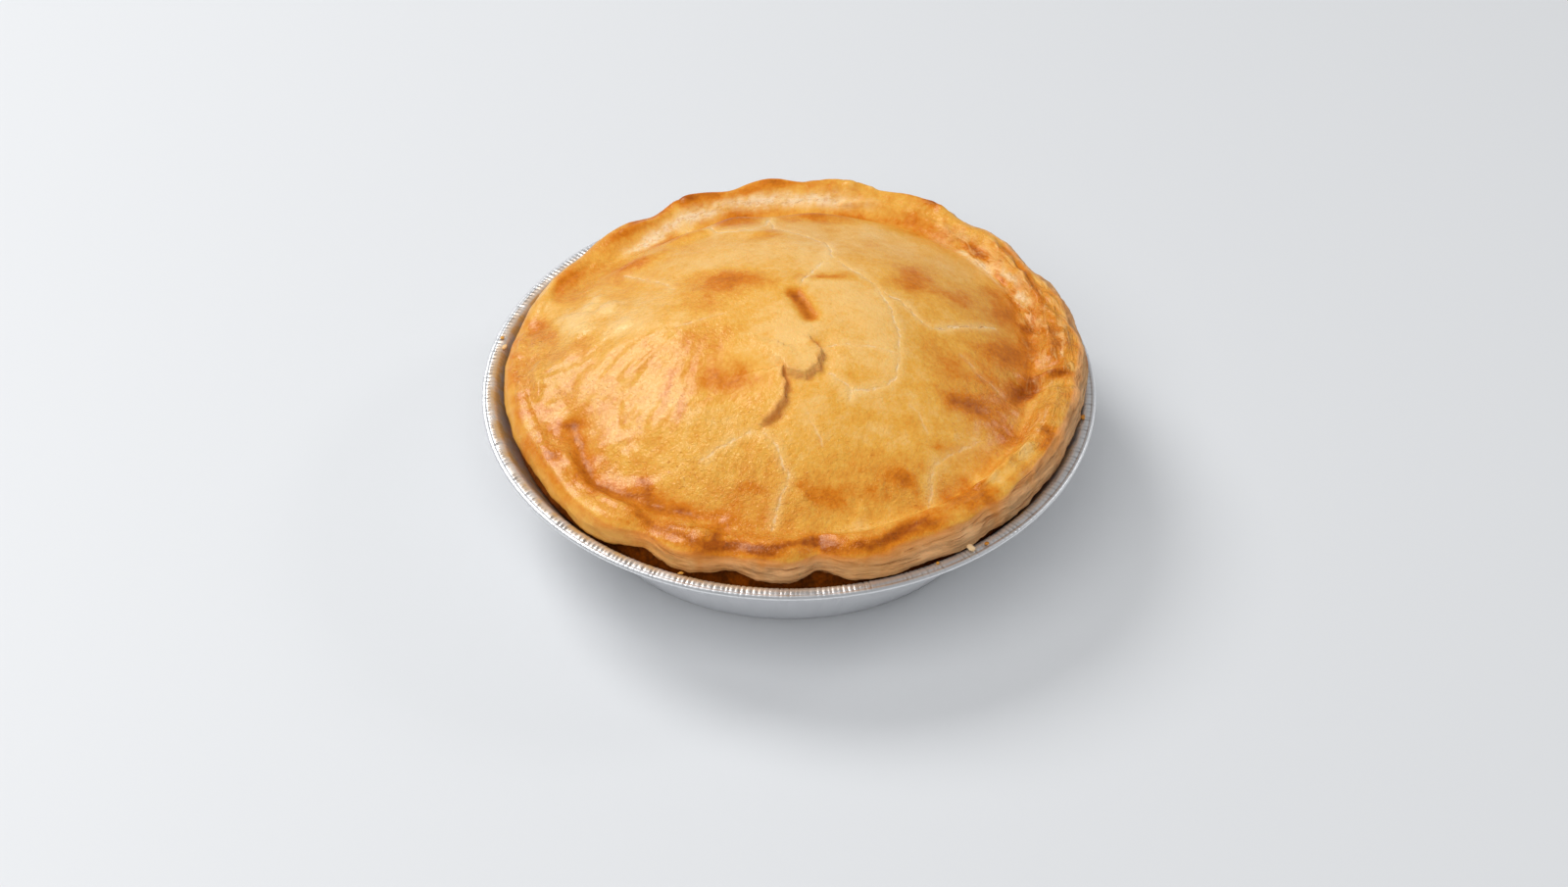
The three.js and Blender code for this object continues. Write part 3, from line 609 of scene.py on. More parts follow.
def points_of(mesh):
    co = np.empty(len(mesh.vertices) * 3)
    mesh.vertices.foreach_get("co", co)
    return co.reshape(-1, 3)


def move_points(mesh, places):
    mesh.vertices.foreach_set("co", np.ascontiguousarray(places, dtype=np.float64).ravel())
    mesh.update()


def read_values(mesh, name):
    values = np.empty(len(mesh.vertices))
    mesh.attributes[name].data.foreach_get("value", values)
    return values


def write_values(mesh, name, values):
    layer = mesh.attributes.get(name) or mesh.attributes.new(name, "FLOAT", "POINT")
    layer.data.foreach_set("value", np.ascontiguousarray(values, dtype=np.float32))


CUTS = 3                   # each step of a blank is cut into four
SAME_PLACE = 1e-7          # metres, nearer than which two points are one


def turned_blank(name, profile, segments):
    """Extrude a coarse profile, spin it into a blank and subdivide that.

    Each point keeps its number along the subdivided profile in the attribute "station"."""
    deselect_all()
    bpy.ops.mesh.primitive_plane_add(size=0.001)
    obj = bpy.context.active_object
    obj.name = obj.data.name = name
    bpy.ops.object.mode_set(mode="EDIT")
    bpy.ops.mesh.select_all(action="SELECT")
    bpy.ops.mesh.merge(type="CENTER")
    bpy.ops.transform.translate(value=(profile[0][0] * MM, 0.0, profile[0][1] * MM))
    for (r0, z0), (r1, z1) in zip(profile, profile[1:]):
        step = ((r1 - r0) * MM, 0.0, (z1 - z0) * MM)
        bpy.ops.mesh.extrude_region_move(TRANSFORM_OT_translate={"value": step})
    finish_edit()
    corners = points_of(obj.data)[:, None, (0, 2)] - np.array(profile)[None] * MM
    nearest = np.argmin(np.hypot(corners[..., 0], corners[..., 1]), axis=1)
    write_values(obj.data, "station", nearest * (CUTS + 1.0))
    edit(obj)
    bpy.ops.mesh.select_all(action="SELECT")
    bpy.ops.mesh.spin(steps=segments // (CUTS + 1), angle=TURN, center=(0, 0, 0), axis=(0, 0, 1))
    bpy.ops.mesh.select_all(action="SELECT")
    bpy.ops.mesh.remove_doubles(threshold=SAME_PLACE)
    bpy.ops.mesh.select_all(action="SELECT")
    bpy.ops.mesh.subdivide(number_cuts=CUTS)
    bpy.ops.mesh.select_all(action="SELECT")
    bpy.ops.mesh.normals_make_consistent(inside=False)
    finish_edit()
    return obj


def extrude_rings(obj, rings):
    """Carry the open edge of a blank on through more rings and close it with a face."""
    edit(obj)
    bpy.ops.mesh.select_mode(type="EDGE")
    bpy.ops.mesh.select_all(action="DESELECT")
    bpy.ops.mesh.select_non_manifold()
    for (r0, z0), (r1, z1) in zip(rings, rings[1:]):
        bpy.ops.mesh.extrude_region_move(TRANSFORM_OT_translate={"value": (0.0, 0.0, (z1 - z0) * MM)})
        bpy.ops.transform.resize(value=(r1 / r0, r1 / r0, 1.0), center_override=(0.0, 0.0, 0.0))
    bpy.ops.mesh.edge_face_add()
    bpy.ops.mesh.select_mode(type="VERT")
    finish_edit()


# =================================================================================================
# Shader groups and materials
# =================================================================================================


class Nodes:
    """Short ways to add and join shader nodes."""

    def __init__(self, tree):
        self.tree = tree
        tree.nodes.clear()

    def add(self, kind, inputs=None, **settings):
        node = self.tree.nodes.new(kind)
        for key, value in settings.items():
            setattr(node, key, value)
        for key, value in (inputs or {}).items():
            if isinstance(value, bpy.types.NodeSocket):
                self.tree.links.new(value, node.inputs[key])
            else:
                node.inputs[key].default_value = value
        return node

    def math(self, operation, a, b=0.0):
        return self.add("ShaderNodeMath", {0: a, 1: b}, operation=operation).outputs[0]

    def plus(self, a, b):
        return self.math("ADD", a, b)

    def minus(self, a, b):
        return self.math("SUBTRACT", a, b)

    def times(self, a, b):
        return self.math("MULTIPLY", a, b)

    def mix(self, factor, a, b):
        """Mix two colours, each a socket or red, green and blue."""
        a, b = (tint if isinstance(tint, bpy.types.NodeSocket) else (*tint, 1.0) for tint in (a, b))
        return self.add("ShaderNodeMix", {0: factor, 6: a, 7: b}, data_type="RGBA").outputs[2]

    def noise(self, vector, scale, detail=2.0, roughness=0.5, distortion=0.0):
        return self.add("ShaderNodeTexNoise", {
            "Vector": vector, "Scale": scale, "Detail": detail, "Roughness": roughness,
            "Distortion": distortion}).outputs["Fac"]

    def remap(self, value, low, high, to_low=0.0, to_high=1.0):
        return self.add("ShaderNodeMapRange", {
            "Value": value, "From Min": low, "From Max": high, "To Min": to_low, "To Max": to_high,
        }, clamp=True).outputs["Result"]

    def attribute(self, name):
        return self.add("ShaderNodeAttribute", attribute_name=name).outputs["Fac"]

    def object_coords(self):
        return self.add("ShaderNodeTexCoord").outputs["Object"]

    def stretched(self, vector, scale):
        return self.add("ShaderNodeMapping", {"Vector": vector, "Scale": scale}).outputs["Vector"]

    def bump(self, height, strength, distance):
        return self.add("ShaderNodeBump", {
            "Height": height, "Strength": strength, "Distance": distance}).outputs["Normal"]

    def baked_grain(self, coarse_size, fine_size, fine_share):
        """Place the shared grain with this material's own values."""
        return self.add("ShaderNodeGroup", {
            "Coarse size": coarse_size, "Fine size": fine_size, "Fine share": fine_share,
        }, node_tree=grainy_group()).outputs

    def finish(self, inputs):
        shader = self.add("ShaderNodeBsdfPrincipled", inputs)
        self.add("ShaderNodeOutputMaterial", {"Surface": shader.outputs["BSDF"]})

    def ramp(self, factor, stops):
        node = self.add("ShaderNodeValToRGB", {"Fac": factor})
        elements = node.color_ramp.elements
        while len(elements) < len(stops):
            elements.new(0.5)
        for element, (place, tint) in zip(elements, stops):
            element.position = place
            element.color = (*tint, 1.0)
        return node.outputs["Color"]


def group_tree(name, sockets_in, sockets_out):
    tree = bpy.data.node_groups.new(name, "ShaderNodeTree")
    for label, kind, default in sockets_in:
        socket = tree.interface.new_socket(label, in_out="INPUT", socket_type=kind)
        if default is not None:
            socket.default_value = default
    for label, kind in sockets_out:
        tree.interface.new_socket(label, in_out="OUTPUT", socket_type=kind)
    return tree


def grainy_group():
    """Uneven tone at two sizes, used by the crust and the crumbs."""
    name = "Baked grain"
    if name in bpy.data.node_groups:
        return bpy.data.node_groups[name]
    tree = group_tree(name, (
        ("Coarse size", "NodeSocketFloat", 120.0), ("Fine size", "NodeSocketFloat", 900.0),
        ("Fine share", "NodeSocketFloat", 0.5),
    ), (("Tone", "NodeSocketFloat"), ("Fine", "NodeSocketFloat")))
    n = Nodes(tree)
    given = n.add("NodeGroupInput")
    coords = n.object_coords()
    coarse = n.noise(coords, given.outputs["Coarse size"], detail=3.0, roughness=0.55, distortion=0.3)
    fine = n.noise(coords, given.outputs["Fine size"], detail=2.0, roughness=0.6)
    fine_tone = n.times(n.minus(fine, 0.5), given.outputs["Fine share"])
    n.add("NodeGroupOutput", {"Tone": n.plus(n.minus(coarse, 0.5), fine_tone), "Fine": fine})
    return tree


def new_material(name):
    material = bpy.data.materials.new(name)
    material.use_nodes = True
    return material, Nodes(material.node_tree)


def shaded(colour, share):
    return [min(1.0, share * c) for c in colour]


def halfway(first, second):
    return [0.5 * (a + b) for a, b in zip(first, second)]


# How finely the layers of the side repeat, level and upwards, and the dark gaps between them, which are
# painted shade.
LAYER_STRETCH = (120.0, 120.0, 900.0)
GAP_STRETCH = (100.0, 100.0, 900.0)

# Relief of the crust that is too fine for the mesh, in millimetres.
PEBBLE_HEIGHT = 0.07
GLAZED_PEBBLE_HEIGHT = 0.34    # added where the egg wash is thick
CRINKLE_HEIGHT = 0.42
LAYER_HEIGHT = 0.55
GAP_DEPTH = 0.30
CRACK_DEPTH = 0.12
FLAKE_HEIGHT = 0.45
BLISTER_HEIGHT = 0.16

CRACK_EDGES = (0.42, 0.16)     # millimetres off the line: where a crack starts, where it is full
CORE_EDGES = (0.15, 0.05)      # the same for the dark core of an open crack, painted shade


def side_streaks(n, coords, settings, side, browning):
    """The side is unglazed and shows its layers as level streaks, lighter where they stand out and darker
    where they sink, with dark gaps between them: partly the layers' own tone, partly painted light and
    shade.
    """
    layers = n.stretched(coords, LAYER_STRETCH)
    layers = n.noise(layers, 1.0, detail=3.0, roughness=0.65, distortion=0.6)
    # A darker and a lighter copy of the side colour, picked by the noise that raises the layers: painted
    # light and shade over the layers' tone.
    tint = n.mix(n.remap(layers, 0.34, 0.62), shaded(settings.side, 0.58), shaded(settings.side, 1.16))
    tint = n.mix(n.remap(browning, 0.40, 0.75, 0.0, 0.75), tint, settings.amber)
    gaps = n.noise(n.stretched(coords, GAP_STRETCH), 1.0, detail=2.0, roughness=0.5, distortion=0.3)
    # The gaps between the layers are darkened: painted shade.
    gaps = n.times(n.remap(gaps, 0.39, 0.30), side)
    return n.mix(n.times(gaps, 0.45), tint, settings.brown), layers, gaps


def loose_flakes(n, surface, settings, flaky):
    """Loose flakes along the edge, pale where they curl up and darker in between: partly the flakes' own
    colour, partly painted light on the raised flakes and painted shade between them.
    """
    ring = n.add("ShaderNodeCombineXYZ", {
        0: n.attribute("out_way"), 1: n.times(n.attribute("arc_way"), 0.30)}).outputs[0]
    flakes = n.noise(ring, 0.62, detail=4.0, roughness=0.62, distortion=0.5)
    # Raised flakes are paler and the hollows between them darker: painted light and shade with the flakes'
    # colour.
    curled = n.times(n.remap(flakes, 0.52, 0.62), n.times(flaky, 0.45))
    between = n.times(n.remap(flakes, 0.45, 0.35), n.times(flaky, 0.42))
    return n.mix(between, n.mix(curled, surface, settings.pale), settings.amber), flakes


def drawn_cracks(n, surface, coords, settings):
    """Cracks are thinner than the mesh, so they are drawn by the distance that each point keeps."""
    wobble = n.times(n.minus(n.noise(coords, 700.0, detail=2.0), 0.5), 0.9)
    off_line = n.math("ABSOLUTE", n.plus(n.attribute("crack_way"), wobble))
    cracks = n.attribute("cracks")
    broken = n.remap(n.noise(coords, 620.0, detail=2.0), 0.45, 0.55, 0.15, 1.0)
    line = n.times(n.remap(off_line, *CRACK_EDGES), n.times(cracks, broken))
    surface = n.mix(n.times(n.remap(cracks, 0.05, 0.9), 0.50), surface, settings.pale)
    surface = n.mix(n.times(line, 0.70), surface, settings.floury)
    # Open cracks get a dark core: painted shade inside the crack.
    here_and_there = n.remap(n.noise(coords, 320.0, detail=1.0), 0.50, 0.58)
    open_here = n.times(n.remap(cracks, 0.55, 0.85), here_and_there)
    core = n.times(n.remap(off_line, *CORE_EDGES), n.times(open_here, 0.6))
    return n.mix(core, surface, settings.brown), line


def crust_material(settings):
    material, n = new_material("Baked crust")
    coords = n.object_coords()
    browning, pale, gloss = n.attribute("browning"), n.attribute("pale"), n.attribute("gloss")
    side, crinkle, flaky = n.attribute("side"), n.attribute("crinkle"), n.attribute("flaky")
    baked = n.plus(browning, n.times(n.baked_grain(260.0, 1000.0, 0.9)["Tone"], 0.26))
    surface = n.ramp(baked, (
        (0.00, settings.pale), (0.30, halfway(settings.pale, settings.golden)), (0.45, settings.golden),
        (0.66, settings.amber), (0.86, settings.brown), (1.0, settings.burnt)))
    side_tint, layers, gaps = side_streaks(n, coords, settings, side, browning)
    surface = n.mix(side, surface, side_tint)
    specks = n.remap(n.noise(coords, 950.0, detail=2.0, roughness=0.6), 0.54, 0.64)
    surface = n.mix(pale, surface, n.mix(n.times(specks, 0.75), settings.floury, settings.side))
    surface, flakes = loose_flakes(n, surface, settings, flaky)
    surface, crack_line = drawn_cracks(n, surface, coords, settings)

    # Relief: pebbled glaze, dried wrinkles, layers, cracks, flakes, and tiny blisters in clusters.
    pebbles = n.noise(coords, 1150.0, detail=2.0, roughness=0.5, distortion=0.6)
    height = n.times(pebbles, n.plus(n.times(gloss, GLAZED_PEBBLE_HEIGHT), PEBBLE_HEIGHT))
    wrinkles = n.noise(coords, 800.0, detail=2.0, roughness=0.65, distortion=1.2)
    height = n.plus(height, n.times(wrinkles, n.times(crinkle, CRINKLE_HEIGHT)))
    height = n.plus(height, n.times(layers, n.times(side, LAYER_HEIGHT)))
    height = n.minus(height, n.times(crack_line, CRACK_DEPTH))
    height = n.minus(height, n.times(gaps, GAP_DEPTH))
    height = n.plus(height, n.times(n.remap(flakes, 0.40, 0.62), n.times(flaky, FLAKE_HEIGHT)))
    cells = n.add("ShaderNodeTexVoronoi", {"Vector": coords, "Scale": 400.0}).outputs["Distance"]
    clusters = n.remap(n.noise(coords, 110.0, detail=1.0), 0.50, 0.62)
    blisters = n.times(n.remap(cells, 0.22, 0.06), n.times(clusters, n.times(gloss, BLISTER_HEIGHT)))
    height = n.plus(height, blisters)

    # Dark specks in the glazed clusters: painted shade in tiny pits.
    pits = n.remap(n.noise(coords, 1500.0, detail=1.0), 0.62, 0.70)
    pits = n.times(pits, n.times(n.times(gloss, clusters), 0.45))
    roughness = n.minus(0.33, n.times(gloss, 0.13))
    n.finish({
        "Base Color": n.mix(pits, surface, settings.brown),
        "Roughness": n.plus(roughness, n.times(n.math("MAXIMUM", side, pale), 0.35)),
        "Normal": n.bump(height, 1.0, MM), "IOR": 1.48, "Specular IOR Level": 0.30,
        "Specular Tint": (1.0, 0.78, 0.52, 1.0), "Coat Weight": n.times(gloss, 0.40),
        "Coat Roughness": 0.19, "Coat IOR": 1.45, "Subsurface Weight": 0.08, "Subsurface Scale": 2.0 * MM})
    return material


def foil_material(settings):
    material, n = new_material("Pan foil")
    coords = n.object_coords()
    patchy = n.remap(n.noise(coords, 260.0, detail=2.0), 0.30, 0.58, 0.40, 1.0)
    stained = n.times(n.attribute("grease"), patchy)
    # The foil is darker in the crimps: painted shade.
    tint = n.mix(n.times(n.attribute("crimp_shade"), 0.45), settings.foil, shaded(settings.foil, 0.35))
    tint = n.mix(stained, tint, settings.grease)
    # A dark line along the bead and in the groove by the hem: baked-on butter and painted shade.
    butter_and_shade_line = n.times(n.attribute("butter_and_shade_line"), n.remap(patchy, 0.25, 1.0, 0.4, 0.9))
    creases = n.noise(coords, 420.0, detail=2.0, roughness=0.6)
    n.finish({
        "Base Color": n.mix(butter_and_shade_line, tint, shaded(settings.grease, 0.35)),
        "Metallic": n.minus(1.0, n.times(stained, 0.85)), "Normal": n.bump(creases, 0.25, 0.15 * MM),
        "Roughness": n.remap(creases, 0.3, 0.7, 0.38, 0.52)})
    return material


def crumb_material(settings):
    material, n = new_material("Crumb")
    grain_here = n.baked_grain(700.0, 2400.0, 0.5)
    tone = n.plus(n.attribute("browning"), n.times(grain_here["Tone"], 0.5))
    n.finish({
        "Base Color": n.ramp(tone, (
            (0.2, settings.floury), (0.5, settings.golden), (0.9, settings.brown))),
        "Roughness": 0.6, "Normal": n.bump(grain_here["Fine"], 0.6, 0.3 * MM)})
    return material


def floor_material(settings):
    material, n = new_material("Plain floor")
    tint = n.mix(n.noise(n.object_coords(), 4.0), settings.floor, shaded(settings.floor, 0.985))
    n.finish({"Base Color": tint, "Roughness": 0.55})
    return material


# =================================================================================================
# The crust
# =================================================================================================

DOME_STEPS = 92            # fine steps, each a multiple of CUTS + 1
RIM_STEPS = 20
SHOULDER_STEPS = 20
UNDER_STEPS = 8
CREST_START = DOME_STEPS + RIM_STEPS
FOOT_START = CREST_START + SHOULDER_STEPS
UNDER_KNOTS = (0.0, 0.125, 0.25, 0.5, 1.0)

# Coarse outline of the blank: radius, height.
CRUST_BLANK = ((0.0, PIE_TOP), (58.0, 33.0), (66.0, 35.0), (69.0, 28.0), (66.0, 23.0))


def crust_profile():
    """The blank's outline, from the middle of the lid over the edge to the pan's wall."""
    steps = (DOME_STEPS, RIM_STEPS, SHOULDER_STEPS, UNDER_STEPS)
    points = [CRUST_BLANK[0]]
    for (r0, z0), (r1, z1), fine in zip(CRUST_BLANK, CRUST_BLANK[1:], steps):
        count = fine // (CUTS + 1)
        points += [(r0 + (r1 - r0) * i / count, z0 + (z1 - z0) * i / count) for i in range(1, count + 1)]
    return points


def crust_outline(station, c, s, edge, sizes):
    """Radius and height of the plain crust: dome, rim, rounded shoulder and underside."""
    along_dome = np.clip(station / DOME_STEPS, 0, 1)
    along_rim = np.clip((station - DOME_STEPS) / RIM_STEPS, 0, 1)
    rim_width = edge["crest_radius"] - edge["groove_radius"]
    radius = edge["groove_radius"] * along_dome + rim_width * along_rim
    height = lid_height(radius * c, radius * s, radius, edge, sizes)

    quarter = np.clip((station - CREST_START) / SHOULDER_STEPS, 0, 1) * math.pi / 2
    out = np.sin(quarter) ** edge["round"]
    down = np.maximum(np.cos(quarter), 0.0) ** edge["round"]
    foot_radius, foot = edge["edge_radius"], edge["edge_height"]
    on_shoulder = station > CREST_START
    shoulder_width = foot_radius - edge["crest_radius"]
    radius = np.where(on_shoulder, edge["crest_radius"] + shoulder_width * out, radius)
    height = np.where(on_shoulder, foot + (height - foot) * down, height)

    contact = PAN_HEIGHT - CONTACT_DEPTH
    contact_radius = wall_outside(contact) - WALL_GAP
    along_under = np.clip((station - FOOT_START) / UNDER_STEPS, 0, 1)
    under_radius = blend_knots(along_under, UNDER_KNOTS, (
        foot_radius, foot_radius - FOOT_ROUNDING, np.minimum(foot_radius - LIP_WIDTH, LIP_RADIUS),
        contact_radius - TUCK, contact_radius))
    under_height = blend_knots(along_under, UNDER_KNOTS, (
        foot, foot - FOOT_DROP, foot - LIP_DROP, foot - TUCK_DROP, contact))
    on_under = station > FOOT_START
    return np.where(on_under, under_radius, radius), np.where(on_under, under_height, height)


def pressed_lid(x, y, height, top, upper, sizes):
    """Raise the lobes and ridges, open the split and the vent, and press the grooves."""
    height = height + upper * patches(LOBES, x, y)
    height = height + upper * strongest_line(RIDGES, *wander(x, y, ((0.5, 2.6),), 45), (2.0, 0.2))
    split, split_lip, split_low = split_relief(x, y, sizes)
    height = height + top * split
    vent = bell(near_line(VENT_LINE, x, y)[0], VENT_HALF_WIDTH)
    height = height - top * sizes.vent_depth / MM * vent
    height = height - upper * strongest_line(GROOVES, x, y)
    return height, {"split_lip": split_lip * top, "split_low": split_low * top, "vent": vent * top}


def cracked_lid(x, y, height, top):
    """Open the fine cracks. Each point keeps its way off the nearest one, for the material."""
    wx, wy = wander(x, y, ((0.35, 2.2), (0.18, 0.9)), 21)
    near = np.zeros(np.shape(x))
    nearest = np.full(np.shape(x), CRACK_REACH)
    for depth, plainness, points in CRACKS:
        distance, way, along, whole = near_line(points, wx, wy)
        fade = fading(along, whole, 1.5, 0.25)
        height = height - top * depth * (0.9 * bell(distance, 0.6) - 0.5 * bell(distance, 1.6)) * fade
        near = np.maximum(near, fade * bell(distance, 1.5) * plainness)
        closer = distance < np.abs(nearest)
        nearest = np.where(closer, way * np.minimum(distance, CRACK_REACH), nearest)
    return height, {"cracks": near * top, "crack_way": nearest}


def blistered_lid(x, y, height, top, upper):
    """Raise the wrinkles of the glaze and its blisters."""
    swung = x + 0.6 * grain(x, y, 0, 4, 41)
    for rise, width, points in WRINKLES:
        distance, _, along, whole = near_line(points, swung, y)
        height = height + top * rise * bell(distance, width) * fading(along, whole, 3.0, 0.1)
    blister = np.zeros(np.shape(x))
    warp = 1.0 + 0.25 * grain(x, y, 0, 2.0, 51)
    for bx, by, reach, rise in BLISTERS:
        lump = np.clip(1.0 - np.square(np.hypot(x - bx, y - by) * warp / reach), 0.0, 1.0)
        height = height + upper * rise * np.sqrt(lump) * ease(lump * 3.0)
        blister = np.maximum(blister, lump)
    return height, blister


def glazed_lid(x, y, height, top, upper):
    """Unevenness of the glazed face, and the streaks that fan out to the left of its top."""
    crinkle = np.clip(patches(CRINKLES, x, y), 0.0, 1.0)
    glazed = np.clip(patches(GLAZED, x, y), 0.0, 1.0)
    coarse, fine = rough(x, y, 0, 10.0, 61), rough(x, y, 0, 4.4, 62, 2)
    height = height + top * (0.28 * coarse + (0.06 + 0.22 * glazed) * fine)
    height = height + upper * (0.05 + 0.06 * glazed + 0.20 * crinkle) * rough(x, y, height, 1.9, 64, 2)
    fan_x, fan_y = x - FAN_CENTRE[0], y - FAN_CENTRE[1]
    way, turn = np.hypot(fan_x, fan_y), np.arctan2(-fan_y, -fan_x)
    streaks = rough(0.22 * way, 26.0 * turn, 0, 2.8, 63, 2)
    fan = bell(way - FAN_REACH[0], FAN_REACH[1]) * bell(np.degrees(turn) - FAN_TURN[0], FAN_TURN[1])
    return height + top * 0.26 * fan * streaks, crinkle


def flaky_side(station, angle, c, s, radius, height):
    """Let the unglazed side show ragged layers, most on the right and at the front."""
    x, y = radius * c, radius * s
    glaze_runs = 0.28 + 0.18 * facing(angle, LOW_GLAZE) - 0.26 * facing(angle, HIGH_GLAZE)
    glaze_runs = glaze_runs + 0.10 * rough(30.0 * c, 30.0 * s, 0, 3.0, 82, 2)
    side = ease((station - CREST_START - glaze_runs * SHOULDER_STEPS) / (0.14 * SHOULDER_STEPS))
    leftward = ease(0.5 - 0.5 * np.cos(np.radians(angle - ROUGH_EDGE[0])) * 1.5 - 0.12)
    laminated = np.maximum(1.0 - 0.85 * leftward, facing(angle, LAYERED_FRONT))
    flake = (0.06 + 0.40 * laminated) * rough(9.0 * c, 9.0 * s, height, 0.80, 81, 2)
    flake = flake + 0.35 * rough(x, y, height, 4.0, 84, 2)
    flake = flake + 0.30 * laminated * rough(x, y, 1.6 * height, 1.8, 86, 2)
    ragged = bell(station - FOOT_START, 3.0)
    radius = radius + side * flake * (station <= FOOT_START + 1)
    height = height + ragged * 0.30 * rough(x, y, 0, 1.3, 91, 2)
    return radius, height, side, laminated


def crust_places(station, angle, sizes):
    """Where each point of the crust lies, and the shares that colour it."""
    edge = edge_at(angle)
    c, s = np.cos(np.radians(angle)), np.sin(np.radians(angle))
    radius, height = crust_outline(station, c, s, edge, sizes)
    x, y = radius * c, radius * s
    top = (station <= CREST_START).astype(float)
    upper = np.clip(1.0 - (station - CREST_START) / SHOULDER_STEPS, 0.0, 1.0)

    height, forms = pressed_lid(x, y, height, top, upper, sizes)
    height, cracks = cracked_lid(x, y, height, top)
    height, blister = blistered_lid(x, y, height, top, upper)
    height, crinkle = glazed_lid(x, y, height, top, upper)

    # The edge is rough and flaky, most of all on the right.
    rightward = 0.30 + 0.70 * facing(angle, ROUGH_EDGE)
    on_rim = bell(station - DOME_STEPS - 0.8 * RIM_STEPS, 0.75 * RIM_STEPS)
    ridges = 1.0 - 2.0 * np.abs(rough(0.55 * radius, angle * 0.22, 0, 1.5, 66, 2))
    lumps = 0.50 * rough(x, y, 0, 3.2, 68, 2) + 0.24 * ridges
    height = height + upper * on_rim * rightward * lumps
    radius, height, side, laminated = flaky_side(station, angle, c, s, radius, height)

    places = np.column_stack([radius * c, radius * s, height]) * MM
    tones = {
        **forms, **cracks, "blister": blister, "crinkle": crinkle, "laminated": laminated,
        "on_rim": on_rim * upper, "rightward": rightward, "side": side, "x": x, "y": y,
        "angle": np.degrees(np.arctan2(y, x)), "past_crest": station - CREST_START,
        "off_groove": radius - edge["groove_radius"], "radius": radius,
    }
    return places, tones


def patchy_bake(t, wx, wy):
    """Browning by the lists of patches, by the forms of the lid and by chance."""
    spots = patches(BROWNING, wx, wy)
    spots = np.where(spots > 0.0, spots * (0.60 + 0.85 * spots), spots)
    baked = EVEN_BAKE + BROWNING_SHARE * spots + patches(WARMTH, wx, wy)
    for strength, size, seed, octaves in UNEVEN_BAKE:
        baked = baked + strength * rough(t["x"], t["y"], 0, size, seed, octaves)
    for form, strength in FORM_BAKE.items():
        baked = baked + strength * t[form]
    return baked + 0.05 * t["side"] * (1.0 - t["laminated"])


def edge_bake(t, baked, valley, dark_line):
    """The crest catches the heat, most of all at the front, and the valley inside it browns."""
    x, y, angle = t["x"], t["y"], t["angle"]
    down_wall = ease((t["past_crest"] - 6.0) / 11.0)
    baked = baked + (0.34 - 0.30 * down_wall) * t["side"] * facing(angle, BROWN_SIDE)
    baked = baked + 0.11 * bell(valley, 2.0)
    baked = baked + 0.48 * dark_line * np.clip(0.85 + 0.7 * rough(x, y, 0, 4.0, 112, 2), 0.2, 1.2)
    crest = bell(t["past_crest"] - 3.0 - 4.0 * facing(angle, LOW_CREST), 3.0)
    crest = crest * (0.22 + 0.78 * facing(angle, BROWN_CREST))
    baked = baked + 0.17 * crest * np.clip(0.75 + 0.9 * rough(x, y, 0, 7.0, 111), 0.0, 1.3)
    held_back = np.where(baked > DARK_KNEE, DARK_KNEE + DARK_SHARE * (baked - DARK_KNEE), baked)
    return np.minimum(held_back, DARK_LIMIT)


def raw_dough(t):
    """Raw, floury dough in the groove at the back and right."""
    angle = t["angle"]
    back, right = (ease((angle - start) / rise) * ease((end - angle) / fall)
                   for start, rise, end, fall in (RAW_BACK, RAW_RIGHT))
    off_groove = t["off_groove"] + 0.8 * rough(t["x"], t["y"], 0, 3.0, 123, 2)
    back_way = 4.8 - 4.0 * ease((angle - 112.0) / 18.0)
    return back * bell(off_groove - back_way, 1.7) + right * bell(off_groove - 1.8, 2.0)


def crust_tones(t):
    """What the crust's material reads at each point, from the lists and the relief."""
    x, y, side = t["x"], t["y"], t["side"]
    wx, wy = wander(x, y, ((1.1, 5.0), (0.5, 2.0)), 101)
    valley = near_line(VALLEY, wx, wy)[0]
    dark_line, _, along, whole = near_line(DARK_CREST, wx, wy)
    dark_line = bell(dark_line, 1.3) * fading(along, whole, 9.0)
    baked = edge_bake(t, patchy_bake(t, wx, wy), valley, dark_line)
    # The underside is dark brown: baked-on juice, and painted shade in the pocket under the edge.
    under = ease((t["past_crest"] - SHOULDER_STEPS - 1.0) / 2.0)
    baked = np.maximum(baked, JUICE_AND_SHADE_BAKE * under)

    raw = raw_dough(t)
    speckle = ease((rough(x, y, 0, 1.1, 121, 2) + 0.25) / 0.5)
    pale = np.clip(0.95 * raw * (0.45 + 0.55 * speckle), 0.0, 1.0)
    pale = pale * (1.0 - ease((baked - 0.52) / 0.2))
    baked = baked - 0.16 * raw

    shine = np.clip(0.25 + patches(GLAZED, wx, wy), 0.0, 1.0) * (1.0 - t["vent"]) * (1.0 - pale)
    shine = shine * (1.0 - 0.7 * ease((baked - 0.60) / 0.2)) * (1.0 - 0.5 * bell(valley, 2.6))
    layered = side * (1.15 * t["laminated"] - 0.12) * (1.0 - under) * (1.0 - 0.75 * dark_line)
    return {
        "browning": np.clip(baked, 0.0, 1.0), "pale": pale, "gloss": shine * (1.0 - side),
        "side": np.clip(layered + 0.45 * t["split_lip"], 0.0, 1.0), "crinkle": t["crinkle"],
        "cracks": t["cracks"], "crack_way": t["crack_way"],
        "flaky": np.clip(t["on_rim"] * (1.4 * t["rightward"] - 0.45) + 0.4 * raw, 0.0, 1.0),
        "out_way": t["radius"], "arc_way": 1.15 * t["angle"],
    }


